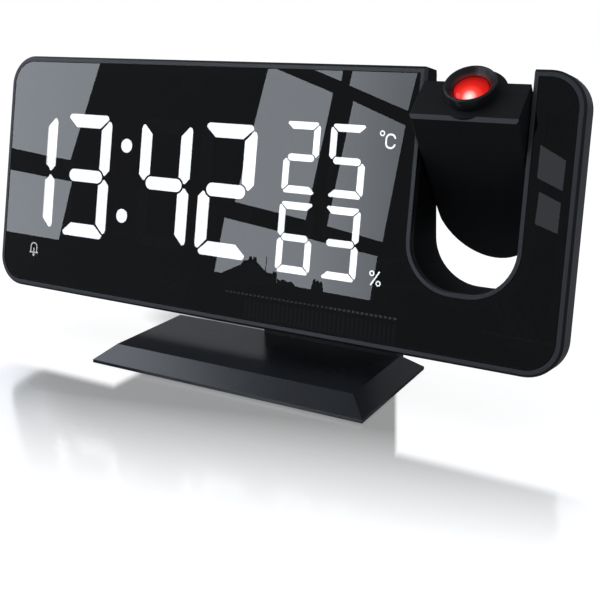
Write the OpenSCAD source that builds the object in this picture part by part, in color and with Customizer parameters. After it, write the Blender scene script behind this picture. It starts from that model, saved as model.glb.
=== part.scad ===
// Projection alarm clock: a mirror display in a leaning head on a low base, with a
// projector arm that swings in a U-shaped notch of the head.
// Millimetres, +Z up, +X to the viewer's right, the display faces -Y.
// Origin: middle of the base's underside, on the table.

/* [Head] */
// Outer width of the head
head_w = 191.4; // [185:1:215]
// Outer height of the head, measured along its lean
head_h = 76.9; // [74:0.5:90]
// Corner radius of the head
head_r = 9.6; // [7:0.2:14]
// Lean of the head's face away from the vertical, in degrees
lean = 10; // [6:1:14]
// Bevel round the front edge of the head
face_bevel = 0.7; // [0.3:0.1:1]
// Width of the flat rim between the bevel and the mirror panel
rim_w = 1.2; // [0.8:0.1:2]
// Depth of the head's flat edge
edge_d = 9.1; // [8.6:0.1:12]
// Slope of the head's back against its face, in degrees
back_slope = 14; // [12:0.5:16]
// Wall of the two housings of the head
wall = 1.8; // [1.4:0.1:2.2]
// How far the bulge of the back stays in from the sides of the head
bulge_in = 4.7; // [4:0.1:6]
// Radius on the upright edges of the bulge
bulge_r = 3; // [2:0.5:4]
// Height of the middle of the head's face above the table
head_z = 55.75; // [52:0.25:64]
// How far the middle of the head's face is in front of the base's middle
head_y = 6.28; // [4:0.1:9]

/* [Mirror panel] */
// Thickness of the mirror panel
panel_t = 1.5; // [1:0.1:2]
// Gap between the mirror panel and the rim round it
panel_gap = 0.12; // [0.05:0.01:0.2]
// Width of the ledge that the mirror panel is glued to
ledge_w = 2.2; // [1.5:0.1:3]
// Thickness of the ledge under the mirror panel
ledge_t = 0.8; // [0.8:0.1:1.2]
// Thickness of the black film behind the mirror panel
film_t = 0.25; // [0.1:0.05:0.4]

/* [Display] */
// Height of the time digits
time_h = 39.7; // [34:0.1:42]
// Width of a time digit
time_w = 19.4; // [16:0.1:20]
// Stroke of the time digits
time_stroke = 4.2; // [3:0.1:5]
// Height of the small digits
small_h = 20.4; // [16:0.1:21]
// Width of a small digit
small_w = 11.3; // [9:0.1:12]
// Stroke of the small digits
small_stroke = 2.1; // [1.6:0.1:2.6]
// Radius of a colon dot
colon_r = 2.2; // [1.5:0.1:3]
// Thickness of the milky diffusers in the display's windows
diffuser_t = 1.5; // [1:0.1:2]
// Thickness of the display's reflector block
reflector_t = 4; // [3.5:0.1:4.2]
// Thickness of every circuit board
board_t = 1.6; // [1:0.1:1.6]

/* [Notch] */
// Width of the notch in which the arm swings
notch_w = 29.1; // [28:0.1:32]
// Depth of the notch below the top of the head
notch_depth = 58.5; // [58:0.5:62]
// Radius of the notch's lower corners
notch_r = 12.8; // [10:0.1:14]
// Distance from the notch's middle to the right side of the head
notch_from_right = 28.05; // [27.5:0.05:29]

/* [Projector arm] */
// Gap between the arm and each side of the notch
arm_gap = 0.4; // [0.3:0.05:0.8]
// Tilt of the arm's top towards the viewer, from folded flush, in degrees
arm_tilt = 48; // [0:1:100]
// Distance of the pivot below the top of the arm
pivot_drop = 17.4; // [17:0.1:18]
// Distance of the pivot behind the arm's front face
pivot_d = 10.5; // [9.9:0.1:10.6]
// Radius of the arm's two pivot axles
axle_r = 2; // [1.6:0.1:2.2]
// Running clearance round a pivot axle
axle_clear = 0.06; // [0.03:0.01:0.1]
// Depth of the arm from front to back
arm_d = 13.45; // [13:0.05:14.5]
// Length of the arm from its top to the tip of its tongue
arm_len = 54.9; // [50:0.1:56]
// Thickness of the tongue at its tip
tip_d = 5; // [4:0.5:8]
// Length of the rounded end of the tongue
tip_round = 20.5; // [14:0.5:24]
// Wall of the arm's two shells
arm_wall = 1.8; // [1.4:0.1:2]
// Distance of the lens axis behind the arm's front face
lens_d = 9.35; // [9:0.05:9.6]
// Radius of the round collar behind the lens
collar_r = 9.1; // [8.6:0.1:10]
// Length of the collar down the arm's back
collar_len = 25; // [20:1:28]

/* [Focus ring and lens] */
// Outer radius of the focus ring
ring_r = 6.8; // [6.6:0.1:7.4]
// Height of the focus ring above the arm's top
ring_h = 3.5; // [3:0.1:5]
// Inner radius of the ring's bell mouth at its rim
mouth_r = 6.2; // [5.8:0.1:6.4]
// Inner radius of the ring's throat, where the lens shows
throat_r = 4.7; // [4.6:0.05:4.8]
// Outer radius of the ring's sleeve inside the arm
sleeve_r = 6.1; // [6.1:0.05:6.3]
// Clearance round the sleeve, the barrel and the lens cell
slide_clear = 0.08; // [0.04:0.01:0.1]
// Wall of the sleeve, the barrel and the lens cell
tube_wall = 0.5; // [0.4:0.05:0.5]
// Length of the lens barrel
barrel_len = 25; // [22:0.5:26]
// Radius of the projection lens
lens_r = 4.45; // [4.2:0.05:4.5]
// Height of the lens's dome
dome_h = 1.2; // [0.8:0.1:1.5]

/* [Keys] */
// Width of a key
key_w = 9; // [7:0.5:10]
// Width of the snooze key
snooze_w = 14; // [12:0.5:15]
// Height of a key
key_h = 4.6; // [4:0.1:5.5]
// Distance between the middles of two keys
key_pitch = 15.6; // [15:0.1:16]
// How far a key stands out of the back
key_proud = 0.9; // [0.7:0.1:1.2]
// Gap round a key in its window
key_gap = 0.2; // [0.15:0.05:0.3]
// Travel of a key
key_travel = 0.6; // [0.4:0.1:0.6]

/* [Battery and sockets] */
// Radius of the coin cell
cell_r = 10; // [10:0.1:10.2]
// Thickness of the coin cell
cell_t = 3.2; // [3:0.1:3.2]
// Radius of the battery cover
cover_r = 12.2; // [12:0.1:13]
// Thickness of the battery cover
cover_t = 1.6; // [1.4:0.1:1.7]
// Radius of the hole in the power socket
power_r = 2.8; // [2.6:0.1:3]
// Width of the charging socket's mouth
usb_w = 12.5; // [12:0.1:13]
// Height of the charging socket's mouth
usb_h = 5.1; // [4.8:0.1:5.4]
// Radius of the speaker
speaker_r = 14; // [12:0.5:14.5]
// Distance from the speaker's middle to the head's left side
speaker_from_left = 30.7; // [28:0.1:34]
// Distance from the power socket's middle to the head's left side
power_from_left = 21.7; // [19:0.1:24]
// Distance between the middles of the two sockets
socket_pitch = 16; // [14:0.5:18]

/* [Stand] */
// Width of the base at the table
base_w = 93.3; // [88:0.5:110]
// Depth of the base at the table
base_d = 44.1; // [43:0.5:56]
// Height of the base
base_h = 5.7; // [5.5:0.1:8]
// How far the base's top stays in from its foot at each side
base_slope_x = 5.45; // [4:0.05:7]
// How far the base's top stays in from its foot at the front and back
base_slope_y = 5.55; // [4:0.05:6]
// Height of the upright lip round the base's foot
base_lip = 0.95; // [0.6:0.05:1.5]
// How far the rubber mat holds the base off the table
mat_proud = 0.4; // [0.3:0.1:0.8]
// How far the rubber mat stays in from the base's foot at each side
mat_in = 7; // [5:0.5:12]
// Wall of the base
base_wall = 1.8; // [1.5:0.1:2]
// Width of the upright
upright_w = 47; // [40:0.5:47]
// Distance from the upright's middle to the base's middle
upright_x = 17.5; // [16:0.5:18]
// Thickness of the upright
upright_t = 6.4; // [5.5:0.1:6.6]
// Height of the upright's top above the table
upright_top = 58; // [54:0.5:62]

/* [Screws] */
// Radius of a housing screw
screw_r = 1.1; // [0.9:0.1:1.2]
// Radius of a screw's head
screw_head_r = 2.1; // [2:0.1:2.2]
// Height of a screw's head
screw_head_h = 1.4; // [1.2:0.1:1.6]

/* [Hidden] */
$fn = 64;

eps = 0.01;
// A length that runs past any wall in a cut
past = 60;
// Clearance between two pieces that are fixed to each other
fit = 0.1;
// How far below the outer face the posts and blocks end inside the back's wall
in_wall = 1;
// Gap left between two pieces that face each other flat
face_gap = 0.05;

// Head, on the face's scale: u across, v up the face, d behind the face
head_top = head_h / 2;
head_low = -head_h / 2;
seam_d = panel_gap + panel_t + ledge_t;
seam_gap = 0.1;
plug_d = 3;
plug_wall = 1.4;
panel_in = face_bevel + rim_w;
back_top_v = head_top - panel_in;
bulge_low = head_low + 2;
bulge_low_r = 2.5;
face_left = -head_w / 2;
notch_u = head_w / 2 - notch_from_right;
notch_low = head_top - notch_depth;
notch_left = notch_u - notch_w / 2;
notch_right = notch_u + notch_w / 2;
boss_len = 6.1;

// Distance of the back's slope behind the face, at height v
function back_d(v) = edge_d + tan(back_slope) * (back_top_v - v);
// Place of a point of the face's scale in the part's own frame
function world_y(d, v) = -head_y + v * sin(lean) + d * cos(lean);
function world_z(d, v) = head_z + v * cos(lean) - d * sin(lean);

// Display
display_u = -0.65;
display_v = 0.3;
film_d = panel_gap + panel_t;
reflector_d = film_d + film_t;
leds_d = reflector_d + reflector_t;
// Depth to which the icons are printed into the film
icon_t = 0.15;
// Right edge of each time digit, then the colon, on the face's scale
time_text = "1342";
time_right = [-73.8, -50.9, -19.5, 3.4];
colon_u = -44.6;
colon_rise = 11.1;
small_right = [23.9, 38.4];
small_rows = [["25", 11.55], ["63", -11.35]];
segment_sets = ["abcdef", "bc", "abdeg", "abcdg", "bcfg", "acdfg", "acdefg", "abc", "abcdefg", "abcdfg"];
segment_names = "abcdefg";
icon_u = 44.2;
bell_u = -80.9;
// Left side and width of the panel left of the notch that the figures above are placed for
figures_left = -95.7;
figures_w = 148.8;
figures_fit = (notch_left - face_left) / figures_w;
function fit_u(u) = face_left + (u - figures_left) * figures_fit;
board_left = face_left + 12.5;
board_right = notch_left - boss_len - 0.6;
board_low = -28.9;
board_high = 27.8;
chip_size = [2, 1.4, 0.7];

// Screw posts of the head, on the face's scale
post_r = 2.6;
well_r = 3;
post_end = seam_d + 4.6;
post_u = head_w / 2 - bulge_in - well_r - in_wall + 0.1;
pad_r = post_r + 1;
post_low = head_low + 7.2;
post_high = head_top - 7.2;
post_mid_u = -22;
posts = [
    [-post_u, post_low], [post_u, post_low], [-post_u, post_high], [post_u, post_high],
    [post_mid_u, head_low + 5.7], [post_mid_u, head_top - 6.2]
];

// Keys and switches, on the back
key_v = 18.7;
key_names = ["mode", "up", "down", "snooze", "alarm", "radio", "projector"];
key_mid_u = -14;
key_flange = 0.8;
switch_t = 1.2;
// Room left under a key that is pressed all the way
press_room = 0.25;
function key_u(i) = key_mid_u + (i - 3) * key_pitch;
function key_size(i) = i == 3 ? snooze_w : key_w;

// Battery bay, speaker, sockets and sensor, on the back
bay_u = -27;
bay_v = -14.4;
bay_r = cover_r + 1.5;
bay_wall = 1.3;
bay_depth = cover_t + cell_t + 2;
lug_r = cover_r + 1.1;
lug_w = 6;
lug_t = 0.7;
lug_turn = 35;
spring_t = 0.3;
speaker_u = face_left + speaker_from_left;
speaker_v = -3;
grille_lip = 1.2;
power_u = face_left + power_from_left;
usb_u = power_u + socket_pitch;
power_board_u = (power_u + usb_u) / 2 + 1;
power_board_h = 9;
socket_v = -27.4;
socket_len = 11;
power_board_w = 36;
sensor_v = -29.5;
main_left = -5;
main_low = -33;
main_high = 7.5;
main_d = 9.6;
// Chips of the main board: place from its lower left corner, width, height above the board, depth
main_chip_list = [[13, 12, 9, 1.4, 9], [28, 10, 7, 1.6, 5], [28, 22, 5, 1.4, 5]];
capacitor_u = 40;
capacitor_v = 9;
capacitor_pitch = 6;
capacitor_h = 3;
capacitor_r = 2;

// Projector arm
arm_w = notch_w - 2 * arm_gap;
arm_u = notch_u;
arm_top = head_top - 0.3;
arm_tip = arm_top - arm_len;
pivot_v = arm_top - pivot_drop;
split_d = lens_d;
split_gap = 0.1;
arm_back_low = arm_top - 30.4;
arm_floor = arm_top - 40;
top_bevel = 0.9;
edge_bevel = 0.5;
boss_r = 4.6;
axle_in = 4;
axle_bore_r = 1.1;
washer_t = 0.3;
washer_r = 3;
barrel_top = arm_top - 0.4;
barrel_low = barrel_top - barrel_len;
barrel_r = sleeve_r - tube_wall - slide_clear;
barrel_bore = barrel_r - tube_wall;
cell_out_r = barrel_bore - slide_clear;
arm_posts = [[-8.2, arm_top - 34.2], [8.2, arm_top - 34.2], [-10.9, arm_top - 8], [10.9, arm_top - 8]];
sleeve_len = 6;
lip_low = 1;
lip_high = 1.7;
lens_edge = 1.5;
lens_thick = 2.6;
cell_rise = 0.3;
cell_len = 5;

// Stand
base_z = mat_proud;
lip_z = base_z + base_lip;
plate_t = base_lip - face_gap;
mat_seat = 0.4;
mat_r = 4;
flat_head_h = 0.5;
upright_y = world_y(back_d(bulge_low), bulge_low) + 0.1;
upright_foot_z = base_z + plate_t + fit;
base_screw_y = upright_y + upright_t / 2;
base_screw_len = 8;
upright_left = upright_x - upright_w / 2;
upright_right = upright_x + upright_w / 2;
stand_screw_v = [-23, 1];
stand_screw_x = [upright_x - 13, upright_x + 13];

// ---------------------------------------------------------------- shared shapes

// Everything of the head is drawn on the face's scale and then leaned back
module leaned() {
    translate([0, -head_y, head_z]) rotate([-lean, 0, 0]) children();
}

// Turns an outline drawn across and up the face into a slab between two depths
module slab(d0, d1) {
    translate([0, d1, 0]) rotate([90, 0, 0]) linear_extrude(d1 - d0) children();
}

// Turns a side view, drawn as depth and height, into a bar from u0 to u1
module bar_across(u0, u1) {
    translate([u0, 0, 0]) rotate([90, 0, 90]) linear_extrude(u1 - u0) children();
}

// Puts a piece on the sloping back: x across, y down the slope, z out of the back
module on_back(u, v) {
    translate([u, back_d(v), v]) rotate([back_slope - 90, 0, 0]) children();
}

// Puts a piece into the depth of the head: x across, y up, z away from the viewer
module inwards(u, d, v) {
    translate([u, d, v]) rotate([-90, 0, 0]) children();
}

module rounded_rect(w, h, r) {
    square([w - 2 * r, h], center = true);
    square([w, h - 2 * r], center = true);
    for (sx = [-1, 1], sy = [-1, 1]) {
        translate([sx * (w / 2 - r), sy * (h / 2 - r)]) circle(r);
    }
}

// Stadium that lies across, w long over its round ends
module stadium(w, h) {
    square([w - h, h], center = true);
    for (s = [-1, 1]) translate([s * (w - h) / 2, 0]) circle(h / 2);
}

// The notch, open at the top, made larger by grow on every side
module notch_outline(grow) {
    r = notch_r + grow;
    half = notch_w / 2 + grow;
    low = notch_low - grow;
    translate([notch_u, 0]) {
        translate([-half, low + r]) square([2 * half, past]);
        translate([-half + r, low]) square([2 * (half - r), past]);
        for (s = [-1, 1]) translate([s * (half - r), low + r]) circle(r);
    }
}

// The head's outline with its notch, in from the outside and from the notch
module head_outline(inset, notch_inset) {
    difference() {
        rounded_rect(head_w - 2 * inset, head_h - 2 * inset, head_r - inset);
        notch_outline(notch_inset);
    }
}

// Rounded plate from d0 to d1 with a bevel b on its edge at depth d0
module bevelled_plate(w, h, r, b, d0, d1) {
    function side(half) = [
        [-half + b, d0], [half - b, d0], [half, d0 + b], [half, d1], [-half, d1], [-half, d0 + b]
    ];
    bar_across(-w / 2 + r, w / 2 - r) polygon([for (p = side(h / 2)) [p[1], p[0]]]);
    translate([0, 0, -h / 2 + r]) linear_extrude(h - 2 * r) polygon(side(w / 2));
    for (sx = [-1, 1], sz = [-1, 1]) {
        inwards(sx * (w / 2 - r), d0, sz * (h / 2 - r)) {
            cylinder(h = b, r1 = r - b, r2 = r);
            translate([0, 0, b]) cylinder(h = d1 - d0 - b, r = r);
        }
    }
}

// Screw that points towards the viewer, its head's underside at depth d
module face_screw(u, d, v, length) {
    inwards(u, d, v) {
        difference() {
            cylinder(h = screw_head_h, r = screw_head_r);
            for (turn = [0, 90]) {
                rotate(turn) translate([-1.2, -0.25, screw_head_h - 0.6]) cube([2.4, 0.5, 1]);
            }
        }
        translate([0, 0, -length]) cylinder(h = length + eps, r = screw_r);
    }
}

// ---------------------------------------------------------------- display shapes

// One segment of a seven-segment digit; the origin is the digit's lower right corner
module segment(name, w, h, t) {
    mid = h / 2;
    if (name == "a") translate([0, h]) mirror([0, 1]) segment_bar(w, t);
    if (name == "d") segment_bar(w, t);
    if (name == "b") segment_side(h, t);
    if (name == "c") translate([0, h]) mirror([0, 1]) segment_side(h, t);
    if (name == "e") translate([-w, h]) rotate(180) segment_side(h, t);
    if (name == "f") translate([-w, 0]) mirror([1, 0]) segment_side(h, t);
    if (name == "g") translate([-w / 2, mid]) stadium(w - 1.34 * t, 0.96 * t);
}

// Lower bar of a digit: its ends slope to a blunt tip near the corner
module segment_bar(w, t) {
    polygon([
        [-w + 0.55 * t, 0], [-0.55 * t, 0], [-0.4 * t, 0.1 * t], [-0.33 * t, 0.31 * t],
        [-1.14 * t, 1.02 * t], [-w + 1.14 * t, 1.02 * t], [-w + 0.33 * t, 0.31 * t], [-w + 0.4 * t, 0.1 * t]
    ]);
}

// Upper right side of a digit: it bends round the end of the middle bar
module segment_side(h, t) {
    mid = h / 2;
    bar_r = 0.48 * t;
    difference() {
        polygon([
            [-t, mid + 0.17 * t], [-0.38 * t, mid + 0.17 * t], [0, mid + 0.57 * t], [0, h - 0.75 * t],
            [-0.09 * t, h - 0.5 * t], [-0.29 * t, h - 0.43 * t], [-t, h - 1.14 * t]
        ]);
        translate([-0.67 * t - bar_r, mid]) circle(bar_r + 0.14 * t);
    }
}

// The digit's segments that are lit, or the ones that are not
module digit(figure, w, h, t, lit) {
    for (i = [0:6]) {
        name = segment_names[i];
        on = len(search(name, segment_sets[figure])) > 0;
        if (on == lit) segment(name, w, h, t);
    }
}

// The hour's first digit only has the two right-hand sides
module time_digits(lit) {
    for (i = [0:3]) {
        translate([time_right[i], display_v - time_h / 2]) {
            if (i > 0) digit(ord(time_text[i]) - 48, time_w, time_h, time_stroke, lit);
            if (i == 0 && lit) digit(1, time_w, time_h, time_stroke, true);
        }
    }
    if (lit) {
        for (s = [-1, 1]) translate([colon_u, display_v - 0.25 + s * colon_rise]) circle(colon_r);
    }
}

module small_digits(lit) {
    for (row = small_rows, i = [0:1]) {
        translate([small_right[i], display_v + row[1] - small_h / 2])
            digit(ord(row[0][i]) - 48, small_w, small_h, small_stroke, lit);
    }
}

module thin_ring(r, stroke) {
    difference() {
        circle(r + stroke / 2);
        circle(r - stroke / 2);
    }
}

// Degree ring with a narrow C, of the temperature reading
module degree_icon() {
    stroke = 0.5;
    translate([icon_u - 1.45, 20.2]) thin_ring(0.6, stroke - 0.15);
    translate([icon_u + 1.1, 18.2]) {
        difference() {
            rounded_rect(3.1, 4.2, 1.5);
            rounded_rect(3.1 - 2 * stroke, 4.2 - 2 * stroke, 1);
            translate([0.5, -0.75]) square([2, 1.5]);
        }
    }
}

// Per cent sign of the humidity reading
module percent_icon() {
    translate([icon_u - 1, -17.9]) thin_ring(0.6, 0.35);
    translate([icon_u + 1.1, -20.5]) thin_ring(0.6, 0.35);
    translate([icon_u + 0.05, -19.2]) rotate(58.5) square([4.6, 0.42], center = true);
}

// Outline of a small bell, of the alarm that is set
module bell_icon() {
    translate([bell_u, -27.2]) {
        difference() {
            bell_outline(0);
            bell_outline(0.38);
        }
        translate([0, 0.95]) square([0.4, 1.5], center = true);
        translate([0, -0.6]) circle(0.45);
    }
}

module bell_outline(inset) {
    difference() {
        union() {
            translate([0, 2.1]) circle(1.5 - inset);
            translate([-1.5 + inset, inset]) square([3 - 2 * inset, 2.1]);
            polygon([
                [-1.95 + 2 * inset, inset], [1.95 - 2 * inset, inset],
                [1.5 - inset, 0.75], [-1.5 + inset, 0.75]
            ]);
        }
        translate([-3, -1]) square([6, 1 + inset]);
    }
}

// Widens or narrows the figures with the panel left of the notch
module fitted() {
    translate([face_left, 0]) scale([figures_fit, 1]) translate([display_u - figures_left, 0]) children();
}

module icons() {
    fitted() {
        degree_icon();
        percent_icon();
        bell_icon();
    }
}

module lit_outline() {
    fitted() {
        time_digits(true);
        small_digits(true);
    }
}

module unlit_outline() {
    fitted() {
        time_digits(false);
        small_digits(false);
    }
}

// Windows of the digits; the icons are printed into the film instead
module window_outline() {
    lit_outline();
    unlit_outline();
}

// ---------------------------------------------------------------- head: front

module bezel_posts() {
    for (p = posts) {
        inwards(p[0], seam_d - ledge_t, p[1]) {
            cylinder(h = post_end - seam_d + ledge_t, r = post_r);
            cylinder(h = ledge_t, r = pad_r);
        }
    }
}

module front_bezel() {
    color("#3b3e42") leaned() difference() {
        union() {
            difference() {
                bevelled_plate(head_w, head_h, head_r, face_bevel, 0, seam_d);
                slab(-1, seam_d + 1) head_outline(panel_in + ledge_w, rim_w + ledge_w);
            }
            difference() {
                slab(seam_d - eps, seam_d + plug_d) head_outline(wall + fit, wall + fit);
                slab(seam_d - 1, seam_d + plug_d + 1)
                    head_outline(wall + fit + plug_wall, wall + fit + plug_wall);
            }
            bezel_posts();
        }
        slab(-1, film_d) head_outline(panel_in - panel_gap, rim_w - panel_gap);
        slab(-1, past) notch_outline(0);
        for (p = posts) {
            inwards(p[0], post_end - 4.4, p[1]) cylinder(h = past, r = screw_r);
        }
    }
}

module mirror_panel() {
    color("#15161a") leaned() slab(panel_gap, film_d) head_outline(panel_in, rim_w);
}

module display_mask() {
    color("#0b0b0c") leaned() difference() {
        slab(film_d, reflector_d) head_outline(panel_in + ledge_w + fit, rim_w + ledge_w + fit);
        slab(0, past) window_outline();
        slab(0, film_d + icon_t) icons();
        for (p = posts) inwards(p[0], 0, p[1]) cylinder(h = past, r = pad_r + fit);
    }
}

module display_reflector() {
    color("#141414") leaned() difference() {
        slab(reflector_d, leds_d) board_outline(0);
        slab(0, past) window_outline();
    }
}

module board_outline(inset) {
    translate([board_left + inset, board_low + inset])
        square([board_right - board_left - 2 * inset, board_high - board_low - 2 * inset]);
}

module lit_segments() {
    color("#f4f6ff") leaned() {
        slab(film_d + face_gap, film_d + face_gap + diffuser_t) lit_outline();
        slab(film_d + face_gap / 2, film_d + icon_t) icons();
    }
}

module unlit_segments() {
    color("#26282b") leaned() slab(film_d + face_gap, film_d + face_gap + diffuser_t) unlit_outline();
}

// Middle of each of a digit's segments, from its lower right corner
function segment_spots(w, h, t) = [
    [-w / 2, h - t / 2], [-t / 2, 0.73 * h], [-t / 2, 0.27 * h], [-w / 2, t / 2],
    [-w + t / 2, 0.27 * h], [-w + t / 2, 0.73 * h], [-w / 2, h / 2]
];

module led_chip(u, v) {
    translate([fit_u(u + display_u) - chip_size[0] / 2, leds_d - chip_size[2], v - chip_size[1] / 2])
        cube([chip_size[0], chip_size[2], chip_size[1]]);
}

module display_leds() {
    color("#e8d96a") leaned() {
        for (i = [0:3], k = [0:6]) {
            spot = segment_spots(time_w, time_h, time_stroke)[k];
            if (i > 0 || k == 1 || k == 2) {
                led_chip(time_right[i] + spot[0], display_v - time_h / 2 + spot[1]);
            }
        }
        for (row = small_rows, right = small_right, spot = segment_spots(small_w, small_h, small_stroke)) {
            led_chip_small(right + spot[0], display_v + row[1] - small_h / 2 + spot[1]);
        }
        for (s = [-1, 1]) led_chip(colon_u, display_v - 0.25 + s * colon_rise);
    }
}

module led_chip_small(u, v) {
    side = 1.2;
    translate([fit_u(u + display_u) - side / 2, leds_d - chip_size[2], v - side / 2])
        cube([side, chip_size[2], side]);
}

module display_board() {
    color("#1f5a34") leaned() slab(leds_d, leds_d + board_t) board_outline(0.3);
}

module key_switches() {
    d0 = leds_d + board_t;
    key_end = back_d(key_v) - (wall + face_gap + key_flange) / cos(back_slope);
    button_h = key_end - key_travel - press_room - d0 - switch_t;
    color("#8d9095") leaned() for (i = [0:6]) {
        inwards(key_u(i), d0, key_v - 0.6) {
            translate([-2.25, -2.25, 0]) cube([4.5, 4.5, switch_t]);
            translate([0, 0, switch_t - eps]) cylinder(h = button_h + eps, r = 1.2);
        }
    }
}

// ---------------------------------------------------------------- head: back

// The bulge, bounded by its outline, its slope with round upright edges, and a round lower edge
module bulge(inset) {
    half = head_w / 2 - bulge_in - inset;
    low = bulge_low + inset;
    r = bulge_r - min(inset, bulge_r - 1);
    low_r = bulge_low_r - min(inset, bulge_low_r - 0.7);
    top = head_top - inset;
    slope_in = inset / cos(back_slope);
    c_v = low + low_r;
    c_d = back_d(c_v) - slope_in - low_r / cos(back_slope);
    on_slope = [c_d + low_r * cos(back_slope), c_v + low_r * sin(back_slope)];
    intersection() {
        bar_across(-half, half) {
            polygon([
                [edge_d - wall - 1, low], [c_d, low], on_slope,
                [back_d(top) - slope_in, top], [edge_d - wall - 1, top]
            ]);
            translate([c_d, c_v]) circle(low_r);
        }
        translate([0, edge_d - slope_in, back_top_v]) rotate([back_slope, 0, 0]) {
            translate([0, 0, -head_h - 10]) linear_extrude(head_h + 30) {
                translate([0, -past / 2 + r]) square([2 * half, past], center = true);
                translate([-half + r, 0]) square([2 * (half - r), 20]);
            }
        }
    }
}

module rear_shell() {
    inner_d = edge_d - wall;
    back_start = seam_d + seam_gap;
    color("#34373b") leaned() difference() {
        union() {
            difference() {
                union() {
                    rear_edge(back_start);
                    bulge(0);
                }
                slab(back_start - 1, inner_d) head_outline(wall, wall);
                intersection() {
                    bulge(wall);
                    slab(0, past) head_outline(wall, wall);
                }
            }
            rear_insides();
        }
        slab(-1, past) notch_outline(0);
        rear_holes();
    }
}

// The flat edge of the back, with a bevel on its rear edge
module rear_edge(start) {
    translate([0, edge_d, 0]) mirror([0, 1, 0])
        bevelled_plate(head_w, head_h, head_r, 1.2, 0, edge_d - start);
}

// Screw wells, bearing blocks of the arm, the battery bay's cup, bosses and posts;
// each ends half way through the wall that carries it
module rear_insides() {
    for (p = posts) {
        inwards(p[0], post_end + face_gap, p[1])
            cylinder(h = back_d(p[1]) - in_wall - post_end - face_gap, r = well_r);
    }
    for (side = [-1, 1]) {
        u0 = side < 0 ? notch_left - boss_len : notch_right + in_wall;
        bar_across(u0, u0 + boss_len - in_wall) bearing_outline();
    }
    on_back(bay_u, bay_v) translate([0, 0, -bay_depth - bay_wall])
        cylinder(h = bay_depth + bay_wall - in_wall, r = bay_r + bay_wall);
    for (x = stand_screw_x, v = stand_screw_v) on_back(x, v) back_post(3 + wall, 2.8);
    for (u = [main_left + 4, board_right - 5], v = [main_low + 4, main_high - 4]) {
        inwards(u, main_d + board_t + face_gap, v)
            cylinder(h = back_d(v) - in_wall - main_d - board_t - face_gap, r = 2.2);
    }
    for (s = [-1, 1]) {
        on_back(power_board_u + s * (power_board_w / 2 - 2.2), socket_v) back_post(socket_len, 1.5);
        on_back(notch_u + s * 7, sensor_v) back_post(5, 1.4);
    }
    on_back(speaker_u, speaker_v) back_post(wall + 2.4, speaker_r + 1.4);
}

// Post under the back's wall, down to the given depth below the outer face
module back_post(depth, r) {
    translate([0, 0, -depth]) cylinder(h = depth - in_wall, r = r);
}

// Side view of the block that carries one of the arm's axles
module bearing_outline() {
    low = pivot_v - boss_r;
    high = pivot_v + boss_r;
    intersection() {
        union() {
            translate([pivot_d, pivot_v]) circle(boss_r);
            translate([pivot_d, low]) square([past, 2 * boss_r]);
        }
        polygon([
            [0, low - 1], [back_d(low - 1) - in_wall, low - 1],
            [back_d(high + 1) - in_wall, high + 1], [0, high + 1]
        ]);
    }
}

module rear_holes() {
    for (p = posts) {
        inwards(p[0], 0, p[1]) cylinder(h = past, r = screw_r + fit);
        inwards(p[0], post_end + 1.4, p[1]) cylinder(h = past, r = screw_head_r + fit);
    }
    translate([notch_left - boss_len - 1, pivot_d, pivot_v]) rotate([0, 90, 0])
        cylinder(h = notch_w + 2 * boss_len + 2, r = axle_r + axle_clear);
    for (i = [0:6]) {
        on_back(key_u(i), key_v) translate([0, 0, -wall - 1]) linear_extrude(wall + 2)
            rounded_rect(key_size(i) + 2 * key_gap, key_h + 2 * key_gap, 1.2);
    }
    on_back(bay_u, bay_v) {
        translate([0, 0, -bay_depth]) cylinder(h = bay_depth - wall, r = bay_r);
        translate([0, 0, -wall - 1]) cylinder(h = wall + 2, r = cover_r + key_gap);
        rotate(lug_turn) translate([0, 0, -wall - 1]) linear_extrude(wall + 2)
            square([2 * (lug_r + key_gap), lug_w + 2 * key_gap], center = true);
    }
    for (x = stand_screw_x, v = stand_screw_v) {
        on_back(x, v) translate([0, 0, -wall - 2.6]) cylinder(h = wall + 4, r = screw_r);
    }
    on_back(power_u, socket_v) translate([0, 0, -wall - 1]) cylinder(h = wall + 2, r = power_r + 1.4);
    on_back(usb_u, socket_v) translate([0, 0, -wall - 1]) linear_extrude(wall + 2)
        square([usb_w + 1.6, usb_h + 1.6], center = true);
    on_back(speaker_u, speaker_v) {
        translate([0, 0, -grille_lip]) cylinder(h = grille_lip + 1, r = speaker_r);
        translate([0, 0, -wall - 3]) cylinder(h = wall + 2, r = speaker_r - 1);
        translate([0, 0, -wall - 3]) cylinder(h = 3, r = speaker_r + fit);
    }
    for (k = [-1.5:1.5]) {
        on_back(notch_u + k * 2.6, sensor_v) translate([0, 0, -wall - 1]) linear_extrude(wall + 2)
            square([1.2, 6], center = true);
    }
}

module shell_screws() {
    color("#b9bcc0") leaned() for (p = posts) {
        face_screw(p[0], post_end + 1.4, p[1], 5.4);
    }
}

module main_board() {
    color("#1f5a34") leaned() slab(main_d, main_d + board_t)
        translate([main_left, main_low]) square([board_right - main_left, main_high - main_low]);
}

module main_chips() {
    d0 = main_d + board_t;
    color("#1b1c1e") leaned() {
        for (c = main_chip_list) translate([main_left + c[0], d0, main_low + c[1]]) cube([c[2], c[3], c[4]]);
        for (k = [0:2]) {
            inwards(main_left + capacitor_u, d0, main_low + capacitor_v + capacitor_pitch * k)
                cylinder(h = capacitor_h, r = capacitor_r);
        }
    }
}

module speaker() {
    color("#2a2a2c") leaned() on_back(speaker_u, speaker_v) translate([0, 0, -wall - 2.4])
        rotate_extrude() polygon([
            [0, -3.4], [speaker_r / 2, -3.4], [speaker_r / 2, -0.6], [speaker_r - 2, 0.8],
            [speaker_r, 0.8], [speaker_r, 2.2], [speaker_r - 1.4, 2.2], [speaker_r / 2, 0.6], [0, 0.2]
        ]);
}

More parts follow.
